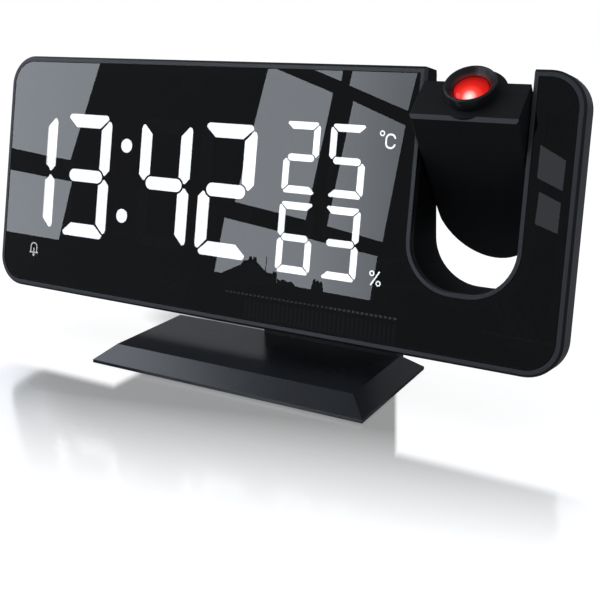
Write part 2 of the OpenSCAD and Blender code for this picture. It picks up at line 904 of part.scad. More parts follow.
module speaker_grille() {
    r = speaker_r - fit;
    color("#2e3134") leaned() on_back(speaker_u, speaker_v) difference() {
        translate([0, 0, -grille_lip + face_gap]) cylinder(h = grille_lip - face_gap, r = r);
        for (k = [-4:4]) {
            y = k * 2.6;
            half = sqrt(pow(r - 2, 2) - y * y);
            translate([0, y, -grille_lip - 1]) linear_extrude(grille_lip + 2) stadium(2 * half, 1.2);
        }
    }
}

module power_board() {
    color("#1f5a34") leaned() on_back(power_board_u, socket_v)
        translate([0, -1.2, -socket_len - face_gap - board_t / 2])
            cube([power_board_w, power_board_h, board_t], center = true);
}

module power_socket() {
    size = 2 * power_r + 2.6;
    color("#18191b") leaned() on_back(power_u, socket_v) {
        difference() {
            union() {
                translate([-size / 2, -size / 2, -socket_len])
                    cube([size, size, socket_len - wall - face_gap]);
                translate([0, 0, -wall - 1]) cylinder(h = wall + 1 - 0.2, r = power_r + 1.4 - fit);
            }
            translate([0, 0, -socket_len + 1.5]) cylinder(h = socket_len, r = power_r);
        }
        translate([0, 0, -socket_len + 1]) cylinder(h = socket_len - 3.5, r = 0.65);
    }
}

module charging_socket() {
    shell_wall = 0.35;
    color("#c4c7ca") leaned() on_back(usb_u, socket_v) {
        translate([0, 0, -socket_len]) difference() {
            linear_extrude(socket_len - 0.3)
                square([usb_w + 2 * shell_wall, usb_h + 2 * shell_wall], center = true);
            translate([0, 0, 1]) linear_extrude(socket_len) square([usb_w, usb_h], center = true);
        }
        translate([-usb_w / 2 + 0.6, -1.6, -socket_len + 0.9]) cube([usb_w - 1.2, 1.7, socket_len - 2]);
    }
}

module temperature_sensor() {
    color("#d9dbd6") leaned() on_back(notch_u, sensor_v) translate([0, 0, -5 - face_gap]) {
        translate([0, 0, -0.5]) cube([17.4, 7, 1], center = true);
        translate([-2.5, -2, -eps]) cube([5, 4, 1.4]);
    }
}

module coin_cell() {
    color("#c9cdd1") leaned() on_back(bay_u, bay_v) translate([0, 0, -bay_depth + spring_t + 0.2]) {
        cylinder(h = 0.5, r = cell_r - 1.2);
        translate([0, 0, 0.4]) cylinder(h = cell_t - 0.4, r = cell_r);
    }
}

module cell_spring() {
    color("#caa85a") leaned() on_back(bay_u, bay_v) translate([0, 0, -bay_depth + face_gap]) {
        translate([-6, -2, 0]) cube([12, 4, spring_t]);
    }
}

module cell_clip() {
    color("#caa85a") leaned() on_back(bay_u, bay_v) for (s = [-1, 1]) {
        translate([s * (cell_r + 0.6) - 0.25, -3, -bay_depth + face_gap]) cube([0.5, 6, cell_t + 0.4]);
    }
}

// Round cover with two lugs under the shell and a slot for a coin
module battery_cover() {
    color("#34373b") leaned() on_back(bay_u, bay_v) difference() {
        union() {
            translate([0, 0, -cover_t - 0.1]) cylinder(h = cover_t, r = cover_r);
            translate([0, 0, -wall - 0.15 - lug_t]) cylinder(h = lug_t + 0.5, r = cover_r - 0.4);
            intersection() {
                translate([0, 0, -wall - 0.15 - lug_t / 2]) cube([2 * lug_r, lug_w, lug_t], center = true);
                translate([0, 0, -wall - 2]) cylinder(h = 3, r = lug_r);
            }
        }
        translate([0, 0, 0.6]) cube([14, 1.8, 3], center = true);
    }
}

module rear_key(i) {
    w = key_size(i);
    color("#2b2d30") leaned() on_back(key_u(i), key_v) {
        translate([0, 0, -wall - 0.1]) linear_extrude(wall + 0.1 + key_proud) rounded_rect(w, key_h, 1.1);
        translate([0, 0, -wall - face_gap - key_flange]) linear_extrude(key_flange)
            rounded_rect(w + 1.6, key_h + 1.6, 1.4);
    }
}

module key_mode() { rear_key(0); }
module key_up() { rear_key(1); }
module key_down() { rear_key(2); }
module key_snooze() { rear_key(3); }
module key_alarm() { rear_key(4); }
module key_radio() { rear_key(5); }
module key_projector() { rear_key(6); }

// ---------------------------------------------------------------- stand

// Side view of the upright: it stands in the base and lies against the head's back
module upright_side() {
    low = bulge_low + 4;
    y1 = world_y(back_d(low), low) + face_gap;
    z1 = world_z(back_d(low), low);
    top_v = (upright_top - head_z) / cos(lean);
    y2 = world_y(back_d(top_v), top_v) + face_gap;
    z2 = world_z(back_d(top_v), top_v);
    polygon([
        [upright_y, upright_foot_z], [upright_y, z1 - 2], [y1, z1], [y2, z2],
        [y2 + upright_t * 0.6, z2], [upright_y + upright_t, upright_foot_z + 16],
        [upright_y + upright_t, upright_foot_z]
    ]);
}

module stand_upright() {
    color("#2f3236") difference() {
        intersection() {
            bar_across(upright_left, upright_right) upright_side();
            translate([upright_x, 0, 0]) linear_extrude(upright_top)
                translate([0, upright_y + upright_t - 20]) rounded_rect(upright_w, 40, 2.2);
            translate([0, past, 0]) rotate([90, 0, 0]) linear_extrude(2 * past) upright_top_outline();
        }
        leaned() for (x = stand_screw_x, v = stand_screw_v) {
            on_back(x, v) {
                translate([0, 0, -1]) cylinder(h = past, r = screw_r + fit);
                translate([0, 0, 2]) cylinder(h = past, r = screw_head_r + fit);
            }
        }
        for (x = stand_screw_x) {
            translate([x, base_screw_y, 0]) cylinder(h = base_z + base_screw_len + 0.5, r = screw_r);
        }
    }
}

// Front view of the upright with round upper corners
module upright_top_outline() {
    r = 8;
    translate([upright_left, 0]) square([upright_w, upright_top - r]);
    translate([upright_left + r, 0]) square([upright_w - 2 * r, upright_top]);
    for (x = [upright_left + r, upright_right - r]) translate([x, upright_top - r]) circle(r);
}

module stand_screws() {
    color("#b9bcc0") leaned() for (x = stand_screw_x, v = stand_screw_v) {
        on_back(x, v) {
            difference() {
                translate([0, 0, 2]) cylinder(h = screw_head_h, r = screw_head_r);
                for (turn = [0, 90]) {
                    rotate(turn) translate([-1.2, -0.25, 2 + screw_head_h - 0.6]) cube([2.4, 0.5, 1]);
                }
            }
            translate([0, 0, -wall - 2.4]) cylinder(h = wall + 2.4 + 2 + eps, r = screw_r - 0.02);
        }
    }
}

// Low block with sloping sides above an upright lip, smaller by inset all round
module base_block(inset, z0, top) {
    w = base_w / 2 - inset;
    d = base_d / 2 - inset;
    rise = base_h - lip_z;
    // the slopes keep their angle when the block is made smaller
    w_top = w - base_slope_x * (top - lip_z) / rise;
    d_top = d - base_slope_y * (top - lip_z) / rise;
    intersection() {
        translate([0, past, 0]) rotate([90, 0, 0]) linear_extrude(2 * past)
            polygon([[-w, z0], [w, z0], [w, lip_z], [w_top, top], [-w_top, top], [-w, lip_z]]);
        bar_across(-past, past)
            polygon([[-d, z0], [d, z0], [d, lip_z], [d_top, top], [-d_top, top], [-d, lip_z]]);
    }
}

module upright_pocket(grow) {
    translate([upright_left - grow, upright_y - grow, upright_foot_z - grow])
        cube([upright_w + 2 * grow, upright_t + 2 * grow, base_h + 5]);
}

module base_shell() {
    color("#303338") difference() {
        base_block(0, base_z, base_h);
        base_block(base_wall, base_z - 1, base_h - base_wall);
        upright_pocket(fit);
    }
}

module base_weight() {
    color("#7f8388") translate([-base_w / 2 + 12, -base_d / 2 + 7.5, base_z + plate_t + face_gap])
        cube([base_w - 24, upright_y + base_d / 2 - 8.5, base_h - base_wall - base_z - plate_t - 2 * fit]);
}

module base_plate() {
    w = base_w - 2 * base_wall - 2 * fit;
    d = base_d - 2 * base_wall - 2 * fit;
    color("#26282b") difference() {
        translate([-w / 2, -d / 2, base_z]) cube([w, d, plate_t]);
        translate([0, 0, base_z - 1]) linear_extrude(1 + mat_seat) mat_outline(fit);
        for (x = stand_screw_x) {
            translate([x, base_screw_y, -1]) cylinder(h = base_screw_len, r = screw_r + fit);
            translate([x, base_screw_y, base_z - 1])
                cylinder(h = 1 + flat_head_h + face_gap, r = screw_head_r + fit);
        }
    }
}

// The mat ends in front of the two screws, and as far behind the front
module mat_outline(grow) {
    depth = 2 * (base_screw_y - screw_head_r - 2 * fit - 0.3);
    rounded_rect(base_w - 2 * mat_in + 2 * grow, depth + 2 * grow, mat_r + grow);
}

module rubber_mat() {
    color("#1a1a1a") linear_extrude(mat_proud + mat_seat - face_gap) mat_outline(0);
}

module base_screws() {
    color("#b9bcc0") for (x = stand_screw_x) {
        translate([x, base_screw_y, base_z]) {
            cylinder(h = flat_head_h, r = screw_head_r);
            cylinder(h = base_screw_len, r = screw_r - 0.02);
        }
    }
}

// ---------------------------------------------------------------- projector arm

// The arm is drawn folded flush with the head and then tilted about its pivot
module tilted() {
    leaned() translate([arm_u, pivot_d, pivot_v]) rotate([arm_tilt, 0, 0]) translate([0, -pivot_d, -pivot_v])
        children();
}

// Side view of the arm: flat front, bevelled top edge, tongue that thins to its tip
module arm_side(inset, low) {
    top = arm_top - inset;
    bevel = top_bevel - inset / 3;
    slope = (arm_d - tip_d) / (arm_back_low - arm_tip);
    back = arm_d - inset;
    low_back = max(arm_d - (arm_back_low - low) * slope - inset, inset + 0.5);
    polygon([
        [inset, low], [inset, top - bevel], [inset + bevel, top], [back, top],
        [back, arm_back_low], [min(low_back, back), low]
    ]);
}

// Front view of the arm: straight sides and a long round end
module arm_front(inset) {
    half = arm_w / 2 - inset;
    start = arm_tip + tip_round;
    translate([-half, start]) square([2 * half, arm_top - start - inset]);
    polygon([for (a = [180:6:360]) [half * cos(a), start + (tip_round - inset) * sin(a)]]);
}

// Plan of the arm: small bevels on its two front edges
module arm_plan() {
    half = arm_w / 2;
    polygon([
        [-half, edge_bevel], [-half + edge_bevel, 0], [half - edge_bevel, 0], [half, edge_bevel],
        [half, past], [-half, past]
    ]);
}

module arm_collar() {
    translate([0, lens_d, arm_top - collar_len]) cylinder(h = collar_len, r = collar_r);
    translate([0, lens_d, arm_top - collar_len - 4]) cylinder(h = 4 + eps, r1 = collar_r - 4, r2 = collar_r);
}

module arm_outside() {
    intersection() {
        bar_across(-arm_w / 2, arm_w / 2) arm_side(0, arm_tip);
        slab(0, past) arm_front(0);
        translate([0, 0, arm_tip - 1]) linear_extrude(arm_len + 2) arm_plan();
    }
    arm_collar();
}

module arm_inside() {
    intersection() {
        bar_across(-arm_w / 2, arm_w / 2) arm_side(arm_wall, arm_floor);
        slab(0, past) arm_front(arm_wall);
    }
    translate([0, lens_d, arm_top - collar_len + arm_wall])
        cylinder(h = collar_len - 2 * arm_wall, r = collar_r - arm_wall);
}

// Ribs that clamp the barrel, screw posts and the blocks that hold the axles
module arm_ribs() {
    for (v = [barrel_low + 3, arm_top - 12]) {
        translate([-arm_w / 2 + 1, 1, v]) cube([arm_w - 2, lens_d + collar_r - 2, 1.4]);
    }
    for (p = arm_posts) inwards(p[0], 1, p[1]) cylinder(h = arm_d - 2, r = 2.2);
    for (s = [-1, 1]) {
        translate([s * (arm_w / 2 - (axle_in + 1) / 2), pivot_d, pivot_v])
            cube([axle_in + 1, 8, 8], center = true);
    }
}

module arm_body() {
    difference() {
        union() {
            difference() {
                arm_outside();
                arm_inside();
            }
            intersection() {
                arm_outside();
                arm_ribs();
            }
        }
        translate([0, lens_d, barrel_low - 2.2]) cylinder(h = barrel_len + 5, r = barrel_r + face_gap);
        translate([0, lens_d, arm_top - sleeve_len - 0.6])
            cylinder(h = sleeve_len + 2, r = sleeve_r + slide_clear);
        for (s = [-1, 1]) {
            translate([s * (arm_w / 2 - axle_in - 1) - 5, pivot_d, pivot_v]) rotate([0, 90, 0])
                translate([0, 0, s > 0 ? 4 : -axle_in + 1]) cylinder(h = axle_in + 6, r = axle_r);
        }
    }
}

module arm_front_shell() {
    color("#2d3034") tilted() difference() {
        intersection() {
            arm_body();
            slab(-past, split_d - split_gap / 2) square(4 * past, center = true);
        }
        for (p = arm_posts) inwards(p[0], 3, p[1]) cylinder(h = past, r = screw_r - 0.1);
    }
}

module arm_rear_shell() {
    color("#26292c") tilted() difference() {
        intersection() {
            arm_body();
            slab(split_d + split_gap / 2, past) square(4 * past, center = true);
        }
        for (p = arm_posts) {
            inwards(p[0], 3, p[1]) cylinder(h = past, r = screw_r + fit);
            inwards(p[0], split_d + 1.4, p[1]) cylinder(h = past, r = screw_head_r - 0.2);
        }
    }
}

module arm_screws() {
    color("#b9bcc0") tilted() for (p = arm_posts) {
        inwards(p[0], split_d + 1.4, p[1]) {
            difference() {
                cylinder(h = 1.1, r = screw_head_r - 0.4);
                rotate(45) translate([-1.1, -0.2, 0.6]) cube([2.2, 0.4, 1]);
            }
            translate([0, 0, -6]) cylinder(h = 6 + eps, r = screw_r - 0.12);
        }
    }
}

module axle_left() {
    color("#9a9da1") tilted() translate([-arm_w / 2 - arm_gap - boss_len + 0.2, pivot_d, pivot_v])
        rotate([0, 90, 0]) difference() {
            cylinder(h = boss_len - 0.2 + arm_gap + axle_in, r = axle_r - face_gap / 5);
            translate([0, 0, -1]) cylinder(h = past, r = axle_bore_r);
        }
}

module axle_right() {
    color("#9a9da1") tilted() translate([arm_w / 2 - axle_in, pivot_d, pivot_v]) rotate([0, 90, 0])
        cylinder(h = boss_len - 0.2 + arm_gap + axle_in, r = axle_r - face_gap / 5);
}

module axle_washers() {
    color("#d7d9db") tilted() for (s = [-1, 1]) {
        translate([s * (arm_w / 2 + arm_gap / 2) - washer_t / 2, pivot_d, pivot_v]) rotate([0, 90, 0])
            difference() {
                cylinder(h = washer_t, r = washer_r);
                translate([0, 0, -1]) cylinder(h = 3, r = axle_r + 0.04);
            }
    }
}

// Puts a turned piece on the lens axis, its zero at the arm's top
module on_lens_axis() {
    tilted() translate([0, lens_d, arm_top]) children();
}

module lens_barrel() {
    color("#1d1e20") on_lens_axis() translate([0, 0, barrel_low - arm_top]) difference() {
        cylinder(h = barrel_len, r = barrel_r);
        translate([0, 0, -1]) cylinder(h = barrel_len + 2, r = barrel_bore);
    }
}

module condenser_lens() {
    r = barrel_bore - face_gap;
    color("#cfe3ee") on_lens_axis() translate([0, 0, barrel_low - arm_top + 6]) rotate_extrude()
        intersection() {
            translate([0, -8.6]) circle(11, $fn = 96);
            translate([0, 0]) square([r, 5]);
        }
}

module picture_slide() {
    color("#5c2326") on_lens_axis() translate([0, 0, barrel_low - arm_top + 10])
        cylinder(h = 1.1, r = barrel_bore - face_gap);
}

module projector_led() {
    color("#f04a3a") on_lens_axis() translate([0, 0, barrel_low - arm_top + 0.1]) {
        cylinder(h = 1.2, r = 2.9);
        translate([0, 0, 1.1]) cylinder(h = 1.3, r = 2.5);
        translate([0, 0, 2.4]) intersection() {
            sphere(2.5);
            cylinder(h = 3, r = 3);
        }
    }
}

module led_board() {
    color("#1f5a34") on_lens_axis() translate([0, 0, barrel_low - arm_top - 1.05])
        cylinder(h = 1, r = barrel_r);
}

// Bell-mouthed ring that turns in the hand, with a sleeve that runs round the barrel
module focus_ring() {
    color("#2b2e32") on_lens_axis() rotate_extrude($fn = 96) polygon([
        [sleeve_r - tube_wall, -sleeve_len], [sleeve_r, -sleeve_len], [sleeve_r, 0.12], [ring_r, 0.12],
        [ring_r, ring_h - 0.3], [ring_r - 0.25, ring_h], [mouth_r, ring_h], [throat_r, lip_high],
        [throat_r, lip_low], [sleeve_r - tube_wall, lip_low]
    ]);
}

module lens_cell() {
    color("#202124") on_lens_axis() rotate_extrude() polygon([
        [lens_r - 0.5, cell_rise - cell_len], [cell_out_r, cell_rise - cell_len], [cell_out_r, cell_rise],
        [lens_r + 0.02, cell_rise], [lens_r + 0.02, lens_edge - lens_thick],
        [lens_r - 0.5, lens_edge - lens_thick]
    ]);
}

// Thick lens with a domed front
module projection_lens() {
    sphere_r = (lens_r * lens_r + dome_h * dome_h) / (2 * dome_h);
    color("#c8201c") on_lens_axis() rotate_extrude($fn = 96) {
        translate([0, lens_edge - lens_thick]) square([lens_r, lens_thick]);
        intersection() {
            translate([0, lens_edge + dome_h - sphere_r]) circle(sphere_r, $fn = 128);
            translate([0, lens_edge - eps]) square([lens_r, dome_h + 1]);
        }
    }
}

front_bezel();
mirror_panel();
display_mask();
display_reflector();
lit_segments();
unlit_segments();
display_leds();
display_board();
key_switches();
rear_shell();
shell_screws();
main_board();
main_chips();
speaker();
speaker_grille();
power_board();
power_socket();
charging_socket();
temperature_sensor();
coin_cell();
cell_spring();
cell_clip();
battery_cover();
key_mode();
key_up();
key_down();
key_snooze();
key_alarm();
key_radio();
key_projector();
stand_upright();
stand_screws();
base_shell();
base_weight();
base_plate();
base_screws();
rubber_mat();
arm_front_shell();
arm_rear_shell();
arm_screws();
axle_left();
axle_right();
axle_washers();
lens_barrel();
condenser_lens();
picture_slide();
projector_led();
led_board();
focus_ring();
lens_cell();
projection_lens();
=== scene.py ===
"""Finishes and light for the projection alarm clock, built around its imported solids."""
import math
import bpy
import bmesh
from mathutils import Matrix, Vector


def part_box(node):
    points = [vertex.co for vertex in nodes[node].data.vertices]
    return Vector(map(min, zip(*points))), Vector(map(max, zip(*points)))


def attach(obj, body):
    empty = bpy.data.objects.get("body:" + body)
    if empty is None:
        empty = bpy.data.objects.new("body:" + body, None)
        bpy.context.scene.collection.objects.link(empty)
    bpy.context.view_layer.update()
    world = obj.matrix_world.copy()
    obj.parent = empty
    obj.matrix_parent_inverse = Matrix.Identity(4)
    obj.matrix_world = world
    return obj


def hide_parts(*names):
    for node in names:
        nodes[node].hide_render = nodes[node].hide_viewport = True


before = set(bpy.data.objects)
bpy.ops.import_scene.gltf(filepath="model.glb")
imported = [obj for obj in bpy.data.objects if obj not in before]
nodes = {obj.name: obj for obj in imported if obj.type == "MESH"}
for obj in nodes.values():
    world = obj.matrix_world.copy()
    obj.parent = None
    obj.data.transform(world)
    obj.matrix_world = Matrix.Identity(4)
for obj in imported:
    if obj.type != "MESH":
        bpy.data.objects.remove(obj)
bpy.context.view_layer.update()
scene = bpy.context.scene
scene.view_settings.view_transform = "Standard"


# ---------------------------------------------------------------- camera
# The clock is seen from its right, a little from above, at the height of its lens.
# The frame is square, and the small shift puts the clock in its place in it.
camera_spot = Vector((0.143956, -0.228921, 0.10587))
yaw, pitch = math.radians(28.673), math.radians(11.948)
looking = Vector((-math.sin(yaw) * math.cos(pitch), math.cos(yaw) * math.cos(pitch),
                  -math.sin(pitch)))
camera_data = bpy.data.cameras.new("camera")
camera_data.sensor_width = 36
camera_data.lens = 55.29
camera_data.shift_x = -0.0165
camera_data.shift_y = -0.1445
camera_data.clip_start = 0.01
camera_data.clip_end = 20
camera = bpy.data.objects.new("camera", camera_data)
camera.location = camera_spot
camera.rotation_euler = looking.to_track_quat("-Z", "Y").to_euler()
scene.collection.objects.link(camera)
scene.camera = camera


# ---------------------------------------------------------------- table
# The clock stands on a glossy white table. The polish mirrors its head and base softly, and
# further to the front their image fades into the white. A faint painted shadow lies behind the base.
def tree_and_shader(material):
    tree = material.node_tree
    return tree, next(n for n in tree.nodes if n.type == "BSDF_PRINCIPLED")


def new_material(name):
    material = bpy.data.materials.new(name)
    material.use_nodes = True
    return material, *tree_and_shader(material)


def add(tree, kind, inputs=None, **settings):
    """Adds a node, sets its properties, and sets or links its inputs."""
    node = tree.nodes.new(kind)
    for key, value in settings.items():
        setattr(node, key, value)
    for key, value in (inputs or {}).items():
        if isinstance(value, bpy.types.NodeSocket):
            tree.links.new(value, node.inputs[key])
        else:
            node.inputs[key].default_value = value
    return node


def object_coordinates(tree, scale=(1, 1, 1), location=(0, 0, 0)):
    place = add(tree, "ShaderNodeTexCoord").outputs["Object"]
    mapping = add(tree, "ShaderNodeMapping", {"Vector": place, "Scale": scale, "Location": location})
    return mapping.outputs[0]


def ramp(tree, value, stops):
    """A colour ramp with (position, colour) stops; a plain number stands for a grey."""
    node = add(tree, "ShaderNodeValToRGB", {"Fac": value})
    band = node.color_ramp.elements
    while len(band) < len(stops):
        band.new(0.5)
    for element, (position, colour) in zip(band, stops):
        element.position = position
        element.color = (*colour, 1) if isinstance(colour, tuple) else (colour, colour, colour, 1)
    return node.outputs["Color"]


def new_piece(name, mesh):
    piece = bpy.data.objects.new(name, mesh)
    scene.collection.objects.link(piece)
    return piece


def flat_piece(name, corners, material):
    """One flat face through its corners, given in order, counter-clockwise seen from its front."""
    mesh = bpy.data.meshes.new(name)
    build = bmesh.new()
    build.faces.new([build.verts.new(c) for c in corners])
    build.to_mesh(mesh)
    build.free()
    mesh.materials.append(material)
    return new_piece(name, mesh)


def maths(tree, operation, *values):
    """Arithmetic on values, as a socket."""
    return add(tree, "ShaderNodeMath", dict(enumerate(values)), operation=operation).outputs[0]


def product(tree, *values):
    result = values[0]
    for value in values[1:]:
        result = maths(tree, "MULTIPLY", result, value)
    return result


def vector_maths(tree, operation, *vectors):
    """Arithmetic on vectors; a length, a distance and a dot product come out as a value."""
    node = add(tree, "ShaderNodeVectorMath", dict(enumerate(vectors)), operation=operation)
    return node.outputs["Value" if operation in ("LENGTH", "DISTANCE", "DOT_PRODUCT") else "Vector"]


def fade(tree, value, low, high, start=0.0, stop=1.0, smooth=False):
    """Goes from start to stop as value goes from low to high, and stays level beyond both."""
    limits = {"From Min": low, "From Max": high, "To Min": start, "To Max": stop}
    return add(tree, "ShaderNodeMapRange", {"Value": value, **limits},
               interpolation_type="SMOOTHSTEP" if smooth else "LINEAR").outputs[0]


table_white, tree, shader = new_material("table_white")
shader.inputs["Base Color"].default_value = (0.25, 0.25, 0.25, 1)
shader.inputs["Roughness"].default_value = 0.6
shader.inputs["Specular IOR Level"].default_value = 0.0
place = object_coordinates(tree)
spot = add(tree, "ShaderNodeSeparateXYZ", {0: place})

# Where the head's image lies, and how it fades towards the viewer along the head's slant
head_image = fade(tree, spot.outputs["Y"], -0.036, -0.030, 1.0, 0.0, smooth=True)
toward_viewer = maths(tree, "MULTIPLY_ADD", spot.outputs["X"], -0.24, spot.outputs["Y"])
strongest = 0.70
faded = fade(tree, toward_viewer, -0.086, -0.034, 0.0, strongest)
left_end = fade(tree, spot.outputs["X"], -0.074, -0.064)
right_end = fade(tree, spot.outputs["X"], 0.104, 0.112, 1.0, 0.0)

# Where the base's image lies, and the slanting line at which it ends
base_image_middle = 0.0175
off_middle = maths(tree, "ABSOLUTE", maths(tree, "SUBTRACT", spot.outputs["X"], base_image_middle))
within_base = fade(tree, off_middle, 0.044, 0.049, 1.0, 0.0, smooth=True)
before_base = fade(tree, spot.outputs["Y"], 0.000, 0.008, 1.0, 0.0)
along_end = maths(tree, "MULTIPLY_ADD", spot.outputs["Y"], 0.436, spot.outputs["X"])
base_end = fade(tree, along_end, 0.0462, 0.0474, 1.0, 0.0)
image = maths(tree, "MAXIMUM", head_image, product(tree, within_base, before_base, base_end))
polished = product(tree, faded, image, left_end, right_end)

# The white of the table, dimmed in an oval behind the base as a painted shadow
shade_middle = (-0.028, 0.030, 0.0)
shade_halves = (0.034, 0.016)
from_shade = vector_maths(tree, "SUBTRACT", place, shade_middle)
outward = vector_maths(tree, "MULTIPLY", from_shade, (1 / shade_halves[0], 1 / shade_halves[1], 1.0))
shade = fade(tree, vector_maths(tree, "LENGTH", outward), 0.30, 1.15, 0.08, 0.88)
light_path = add(tree, "ShaderNodeLightPath")
lift = maths(tree, "MULTIPLY", light_path.outputs["Is Camera Ray"], shade)
shader.inputs["Emission Color"].default_value = (1, 1, 1, 1)
tree.links.new(lift, shader.inputs["Emission Strength"])
polish = add(tree, "ShaderNodeBsdfAnisotropic", {"Color": (1, 1, 1, 1), "Roughness": 0.14})
surface = add(tree, "ShaderNodeMixShader", {"Fac": polished, 1: shader.outputs[0], 2: polish.outputs[0]})
output = next(n for n in tree.nodes if n.type == "OUTPUT_MATERIAL")
tree.links.new(surface.outputs[0], output.inputs["Surface"])
table_half = 3.0
table_corners = [(-table_half, -table_half, 0), (table_half, -table_half, 0),
                 (table_half, table_half, 0), (-table_half, table_half, 0)]
table = flat_piece("table", table_corners, table_white)


# ---------------------------------------------------------------- room light
# The wall behind the clock is white, and what the clock mirrors of the room is a softer grey,
# lightest on the far left. Soft boxes give the slopes and edges their shading.
world = bpy.data.worlds.new("room")
scene.world = world
world.use_nodes = True
tree = world.node_tree
background = next(n for n in tree.nodes if n.type == "BACKGROUND")
rays = add(tree, "ShaderNodeLightPath")


def mix_colour(tree, factor, first, second):
    node = add(tree, "ShaderNodeMix", {"Factor": factor, "A": first, "B": second}, data_type="RGBA")
    return node.outputs["Result"]


def mix_value(tree, factor, first, second):
    return add(tree, "ShaderNodeMix", {"Factor": factor, "A": first, "B": second}).outputs["Result"]


cool_light = (0.93, 0.97, 1.04, 1)
tone = mix_colour(tree, rays.outputs["Is Camera Ray"], cool_light, (1, 1, 1, 1))
tree.links.new(tone, background.inputs["Color"])
direction = add(tree, "ShaderNodeSeparateXYZ", {0: add(tree, "ShaderNodeTexCoord").outputs["Generated"]})

# A bright band high up behind the clock, which the front slope of the arm and the base mirror
rearward = fade(tree, direction.outputs["Y"], 0.3, 0.5)
sloping = maths(tree, "MULTIPLY_ADD", direction.outputs["X"], -0.25, direction.outputs["Z"])
over = fade(tree, sloping, 0.4825, 0.5225)
under = fade(tree, direction.outputs["Z"], 0.52, 0.60, 1.0, 0.0)
leftward = fade(tree, direction.outputs["X"], 0.0, 0.12, 1.0, 0.0)
bright_band = product(tree, over, under, leftward, rearward)

# The grey of the rest, from left to right
grey = fade(tree, direction.outputs["X"], -0.15, 0.12, 0.09, 0.26)
far_left = fade(tree, direction.outputs["X"], -0.75, -0.60, 0.60, 0.0)
mirrored_room = mix_value(tree, bright_band, maths(tree, "MAXIMUM", grey, far_left), 1.0)
lit_room = mix_value(tree, rays.outputs["Is Glossy Ray"], 0.55, mirrored_room)
seen = maths(tree, "MAXIMUM", rays.outputs["Is Camera Ray"], rays.outputs["Is Transmission Ray"])
tree.links.new(mix_value(tree, seen, lit_room, 1.0), background.inputs["Strength"])


def soft_box(name, spot, aim, size, watts, hidden_from):
    data = bpy.data.lights.new(name, "AREA")
    data.shape = "SQUARE"
    data.size = size
    data.energy = watts
    data.color = (0.88, 0.95, 1.05)
    lamp = bpy.data.objects.new(name, data)
    lamp.location = spot
    lamp.rotation_euler = (Vector(aim) - Vector(spot)).to_track_quat("-Z", "Y").to_euler()
    scene.collection.objects.link(lamp)
    setattr(lamp, "visible_" + hidden_from, False)


soft_box("sheen_light", (-0.40, -0.14, 0.40), aim=(-0.02, -0.01, 0.02), size=0.22, watts=0.55,
         hidden_from="diffuse")
soft_box("soft_box_left", (-0.62, -0.50, 0.85), aim=(0, 0, 0.03), size=0.70, watts=4.0,
         hidden_from="glossy")
soft_box("soft_box_back", (0.35, 0.75, 0.80), aim=(0, 0, 0.05), size=0.60, watts=2.0,
         hidden_from="glossy")


# ---------------------------------------------------------------- window that the panel mirrors
# A dark room with a window stands in front of the clock, and only its gloss shows it. The panes
# are given by the places on the panel where the viewer sees them, in millimetres across and up
# the face, and are pushed out along the mirrored lines of sight.
lean = math.radians(10)
face_middle = Vector((0, -0.00628, 0.05575))
face_up = Vector((0, math.sin(lean), math.cos(lean)))
face_out = Vector((0, -math.cos(lean), math.sin(lean)))
viewer = camera_spot - face_middle
viewer_out = viewer.dot(face_out)
viewer_u, viewer_v = viewer.x, viewer.dot(face_up)


def mirrored(u, v, distance):
    """The point at that distance in front of the panel that is mirrored at (u, v)."""
    reach = distance / viewer_out
    across = u / 1000 * (1 + reach) - viewer_u * reach
    up = v / 1000 * (1 + reach) - viewer_v * reach
    return face_middle + Vector((across, 0, 0)) + face_up * up + face_out * distance


def glow(name, colour, left, right):
    """Glowing card whose strength goes from left to right across the window."""
    material, tree, shader = new_material(name)
    shader.inputs["Base Color"].default_value = (0, 0, 0, 1)
    shader.inputs["Specular IOR Level"].default_value = 0
    shader.inputs["Emission Color"].default_value = (*colour, 1)
    across = add(tree, "ShaderNodeSeparateXYZ", {0: object_coordinates(tree)}).outputs["X"]
    strength = fade(tree, across, -0.30, -0.21, left, right)
    tree.links.new(strength, shader.inputs["Emission Strength"])
    return material


def only_mirrored(name, corners, material, distance):
    """Adds a flat piece of the room that no ray but a mirrored one meets."""
    piece = flat_piece(name, [mirrored(u, v, distance) for u, v in corners], material)
    for kind in ("camera", "diffuse", "transmission", "shadow", "volume_scatter"):
        setattr(piece, "visible_" + kind, False)


dark_room = glow("dark_room", (0.94, 0.98, 1.05), 0.22, 0.19)
daylight = (0.80, 0.86, 0.94)
window_light = glow("window_light", daylight, 5.7, 3.7)
window_dusk = glow("window_dusk", daylight, 1.2, 1.2)
pane_distance = 0.62
wall_distance = 0.70
outside_distance = 0.61
only_mirrored("room_wall", [(-150, -62), (190, -62), (190, 85), (-150, 85)], dark_room, wall_distance)
panes = {
    "left_upper": [(-104, 60), (-50.4, 60), (-67.3, 5.0), (-80, 5.9), (-104, 8.2)],
    "left_lower": [(-104, 0.5), (-66, -2.0), (-70, -21.5), (-104, -21.0)],
    "middle_tall": [(5.2, 37.4), (26.6, 30.4), (21.3, -5.5), (-2.7, -2.6)],
    "middle_top": [(8, 40.6), (28.8, 33.7), (30.8, 50), (8, 50)],
    "right_top": [(34.2, 50), (31.4, 32.6), (49.3, 26.5), (53.4, 50)],
    "right_tall": [(33, 28.4), (49, 22.6), (45.3, -9.0), (28.2, -6.5)],
    "middle_low": [(-5.9, -7.6), (44.2, -13.0), (43.1, -25.2), (-8, -23.9)],
}
for name, corners in panes.items():
    only_mirrored("pane_" + name, corners, window_light, pane_distance)
far_panes = {
    "upper": [(85.3, 19.8), (91.9, 16.4), (91.8, 8.9), (85.3, 11.6)],
    "lower": [(86.1, 8.2), (91.7, 5.9), (91.6, -1.7), (85.8, 0.2)],
}
for name, corners in far_panes.items():
    only_mirrored("far_pane_" + name, corners, window_dusk, pane_distance)
